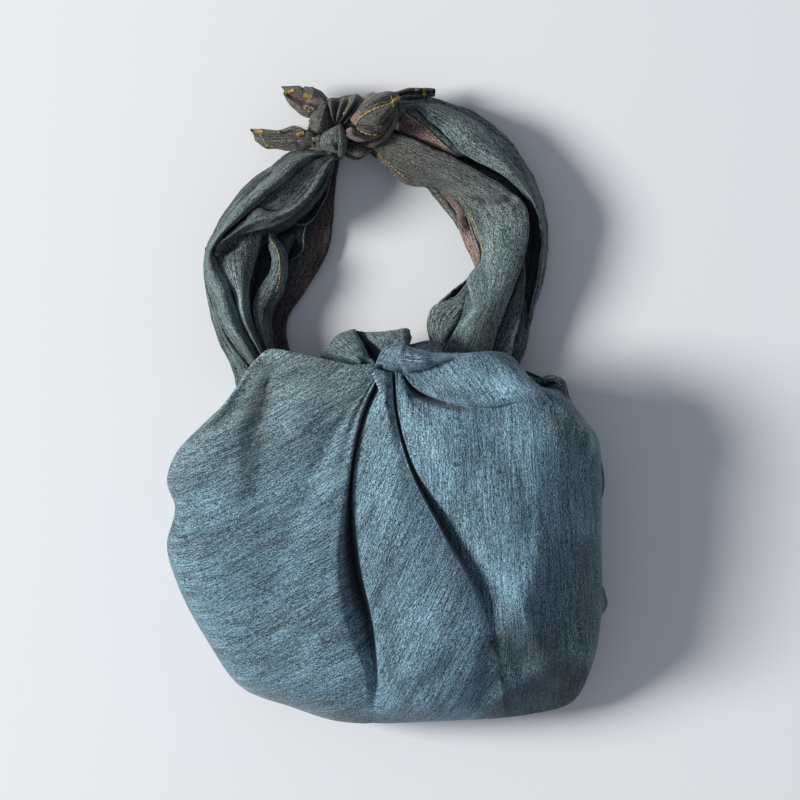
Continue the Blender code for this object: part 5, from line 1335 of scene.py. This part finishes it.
# Each with its table, its dye from end to end, how much of it shows the wrong side, the outlines
# in which it does, and its soft folds.
tailLook = dict(
    front_fold=dict(table=frontFold, dye=(0.12, 0.1, 0.08, 0.06, 0.05, 0.04, 0.04)),
    tail_upper_left=dict(
        table=tailUpperLeft, dye=1.0,
        outlines=(((285, 91), (300, 91), (309, 94), (317, 105), (313, 111), (300, 106), (289, 100)),),
        folds=((((302, 84), (304, 91), (304, 97)), -1.6, 1.5, 2, (0.0, 0.4)), (((311, 86), (314, 94), (320, 104)),
            1.2, 2, 2, (0.1, 0.3)), (((303, 105), (309, 107), (317, 110)), 1.8, 1.2, 1.2, (0.2, 0.2))),
    ),
    tail_left=dict(
        table=tailLeft, dye=(0.9, 0.95, 1.0, 1.0, 1.0, 1.0, 1.0),
        folds=((((295, 127), (304, 131), (314, 136)), 1.8, 1.5, 1.5, (0.2, 0.1)), (((292, 141), (302, 146),
            (314, 147)), -1.4, 2, 2, (0.3, 0.1))),
    ),
    tail_right=dict(table=tailRight, dye=1.0, folds=((((423, 87), (423.5, 92), (423, 97)), -1.2, 1, 1, (0, 0)),)),
    pink_patch=dict(table=pinkPatch, dye=1.0, wrong=0.8),
    tail_front=dict(
        table=tailFront, dye=1.0,
        outlines=(((345, 123), (355, 113), (365, 110), (372, 108), (363, 115), (355, 124)),),
        folds=((((356, 113), (365, 106), (375, 101), (386, 96)), 1.0, 1.2, 2, (0.2, 0.2)), (((360, 122), (372, 118),
            (384, 112)), -0.8, 2, 2, (0.2, 0.2))),
    ),
    lower_leaf=dict(table=lowerLeaf, dye=0.95),
    pink_loop=dict(
        table=pinkLoop, dye=1.0, wrong=1.0,
        folds=((((345, 132), (350, 136), (357, 139)), -1.4, 1, 1, (0.0, 0.3)),),
    ),
    knot_fan=dict(table=knotFan, dye=(0.8, 0.9, 0.95, 1.0)),
    left_lobe=dict(
        table=leftLobe, dye=0.9,
        folds=((((304, 130), (312, 128), (320, 129)), -1.2, 1.3, 1.3, (0.1, 0.3)), (((311, 121), (317, 123),
            (326, 122)), -1.0, 1.5, 2, (0.1, 0.3)), (((314, 115), (318, 119), (320, 127)), 0.8, 2, 2, (0.2, 0.2))),
    ),
    pink_collar=dict(table=pinkCollar, dye=1.0, wrong=1.0),
    knot_band=dict(
        table=knotBand, dye=0.85, shade=1.2,
        folds=((((337.5, 140), (336.8, 149), (336, 157)), -4.5, 1.0, 1.0, (0.3, 0.0)), (((339, 128), (338, 136),
            (337.5, 143)), -0.8, 1.5, 1.5, (0.3, 0.3))),
    ),
)
knots = dict(front_ear=stretchOf("front_ear", ear, (0.25, 0.3, 0.4, 0.45, 0.5), "ear", 5))
knots.update(makeStrips(frontStrips, "front", 90, 0.0))
for index, (name, look) in enumerate(tailLook.items()):
    knots[name] = stretchOf(name, kind="tail", seed=20 + index, **look)
for index, (name, look) in enumerate(rolledBands.items()):
    knots["band_" + name] = bandPiece("band_" + name, seed=index, **look)
for index, (name, line) in enumerate(foldEdges.items()):
    armPieces[name], _ = bandPiece(name, line, armLook["edgeDye"], sides=8, seed=index)
print("knots made")

# ---- stitches

# Pitch and length of a stitch in metres, and whether the stitches lie across their line.
stitching = dict(run=(0.0033, 0.0026, False), tack=(0.0007, 0.0026, True))
# A stitch's sides, the shares of its length where its rings are, and their share of its radius;
# how many radii it lies over the cloth, and how many pixels round it that is looked for.
stitchShape = dict(sides=6, shares=(0.0, 0.12, 0.5, 0.88, 1.0), swell=(0.4, 0.9, 1.0, 0.9, 0.4), over=0.7, reach=1.3)
# Runs of topstitching, in pixels, with the thread's radius in mm, and bar tacks, whose short
# stitches lie side by side across the line.
stitchRuns = (
    (((372, 145), (380, 155), (390, 164.5), (400, 173.5), (410, 181)), 0.32),
    (((459, 197), (465, 205), (472, 217), (478, 231), (481.5, 243), (483.5, 257)), 0.32),
    (((401, 110), (413, 119), (425, 127.5), (437, 138.5), (449, 149)), 0.28),
    (((268.5, 237), (274, 245), (278, 252), (279.6, 262), (280, 272), (279, 282), (276, 292)), 0.28),
    (((430.5, 326), (432, 333), (434.5, 341), (437, 349)), 0.26),
    (((434, 190), (441, 200), (449, 210), (455, 218)), 0.24),
    (((355, 125), (359, 119), (364, 115), (372, 110), (380, 107), (389, 104), (394, 100.5), (398.5, 98.3)), 0.42),
    (((356.5, 127.5), (360, 131), (367, 134), (374, 135), (378, 134.4)), 0.36),
    (((350.5, 98), (348.5, 104), (346, 109.5), (342, 116)), 0.30),
    (((376, 94), (370, 98), (366, 102)), 0.28),
    (((391, 95), (391.8, 99), (393.5, 107)), 0.24),
    (((260, 134), (263.5, 139.5), (266.5, 144.5)), 0.28),
    (((265, 145), (270, 146), (275, 146.5)), 0.22),
    (((303, 107), (307, 110), (311.5, 113)), 0.30),
)
tackRuns = (
    (((392.5, 100.8), (396, 99.3), (399.3, 97.8)), 0.36), (((285.5, 93), (289, 92), (293.5, 90)), 0.34),
    (((303.5, 95.5), (307.5, 96.3), (312, 96.8)), 0.28), (((251, 130.5), (257, 131), (263, 131.5)), 0.32),
    (((296.5, 134.8), (300, 134.2), (304, 133.2)), 0.32), (((424.6, 87.5), (424.8, 91), (424.6, 95.5)), 0.34),
)
clothGrids = [bagGrid, *(grid for _, grid in (*strips.values(), *knots.values()))]
seenPlaces = np.concatenate([pictured(grid).reshape(-1, 2) for grid in clothGrids])
seenHeights = np.concatenate([grid[..., 2].ravel() for grid in clothGrids]) * 1000


# The height of the topmost cloth seen at each pixel place.
def heightAt(places):
    found = np.empty(len(places))
    for index, place in enumerate(places):
        distance = np.hypot(*(seenPlaces - place).T)
        near = distance < stitchShape["reach"]
        found[index] = seenHeights[near].max() if near.any() else seenHeights[distance.argmin()]
    return found


# A stitch is a short spindle: rings round its line, r(t) = r (0.4, 0.9, 1, 0.9, 0.4). A run is
# all of its stitches in one mesh.
def makeStitches(name, runs, kind):
    scale = photoView["metresPerPixel"]
    pitch, length, across = stitching[kind]
    reach = length / scale / 2
    starts, ends, radii = [], [], []
    for line, radius in runs:
        line = np.asarray(line, float)
        marks = marksOf(line)
        middles = np.arange(pitch / scale / 2, marks[-1], pitch / scale)
        if across:
            place = curveAt(line, marks, middles)
            ahead = unit(np.gradient(place, axis=0))
            aside = np.stack((-ahead[:, 1], ahead[:, 0]), axis=1) * reach
            pair = place - aside, place + aside
        else:
            pair = [curveAt(line, marks, np.clip(middles + way, 0, marks[-1])) for way in (-reach, reach)]
        for group, tips in zip((starts, ends), pair):
            group.append(placed(np.column_stack((tips, heightAt(tips) + radius * stitchShape["over"]))))
        radii.append(np.full(len(middles), radius * 0.001))
    start, end, radius = np.concatenate(starts), np.concatenate(ends), np.concatenate(radii)
    side, up = besideAndUp(unit(end - start))
    shares, swell = np.array(stitchShape["shares"]), np.array(stitchShape["swell"])
    turn = np.arange(stitchShape["sides"]) / stitchShape["sides"] * 2 * math.pi
    middle = start[:, None] + (end - start)[:, None] * shares[:, None]
    ring = side[:, None] * np.cos(turn)[:, None] + up[:, None] * np.sin(turn)[:, None]
    points = middle[:, :, None] + ring[:, None] * (radius[:, None] * swell)[:, :, None, None]
    corner, quads = ringQuads(len(shares), len(turn))
    base = np.arange(len(start))[:, None, None] * corner.size
    faces = (quads + base).reshape(-1, 4).tolist()
    faces += (corner[0][::-1] + base[:, 0]).tolist() + (corner[-1] + base[:, 0]).tolist()
    return newPiece(name, points.reshape(-1, 3), faces, thread)


stitchPieces = [makeStitches("stitches", stitchRuns, "run"), makeStitches("tacks", tackRuns, "tack")]
print("stitches made")

# ---- floor, light and camera

stageLook = dict(
    sky=(0.80, 0.86, 1.0, 1.0),
    skyStrength=0.32,
    keyPlace=(-5.18, 0.36, 3.0),
    keySize=2.0,
    keyPower=515.0,
    keyColour=(1.0, 0.989, 0.951),
)


def makeStage():
    scene = bpy.context.scene
    half = floorLook["size"] / 2
    corners = [(-half, -half, 0), (half, -half, 0), (half, half, 0), (-half, half, 0)]
    newPiece("floor", corners, [(0, 1, 2, 3)], floorMaterial())
    scene.world = bpy.data.worlds.new("paleStudio")
    scene.world.use_nodes = True
    sky = scene.world.node_tree.nodes["Background"]
    setInputs(sky, {0: stageLook["sky"], 1: stageLook["skyStrength"]})
    light = bpy.data.lights.new("softKey", "AREA")
    light.shape = "DISK"
    light.size = stageLook["keySize"]
    light.energy = stageLook["keyPower"]
    light.color = stageLook["keyColour"]
    key = bpy.data.objects.new("softKey", light)
    scene.collection.objects.link(key)
    key.location = stageLook["keyPlace"]
    away = unit(np.array(stageLook["keyPlace"]))
    key.rotation_euler = (math.acos(away[2]), 0.0, math.atan2(away[0], -away[1]))
    camera = bpy.data.cameras.new("photoCamera")
    camera.sensor_width = photoView["sensor"]
    camera.lens = photoView["sensor"] * photoView["cameraHeight"] / (photoView["size"] * photoView["metresPerPixel"])
    view = bpy.data.objects.new("photoCamera", camera)
    scene.collection.objects.link(view)
    offset = np.subtract(photoView["middle"], photoView["origin"]) * photoView["metresPerPixel"]
    view.location = (offset[0], -offset[1], photoView["cameraHeight"])
    scene.camera = view
    scene.view_settings.view_transform = "Standard"


makeStage()
print("stage made")

# ---- what each piece is

for piece in (bag, *armPieces.values(), *(piece for piece, _ in knots.values()), *stitchPieces):
    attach(piece, "root")
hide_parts("furoshiki_cloth")
# The bag is a sheet, but isn't declared as one.
cutArea = cloth["size"] ** 2
print(f"sheet check not passed: furoshiki_bag isn't declared, with {cloth['bagArea']:.3f} of the cut's "
      f"{cutArea:.2f} square metres")
print("done")
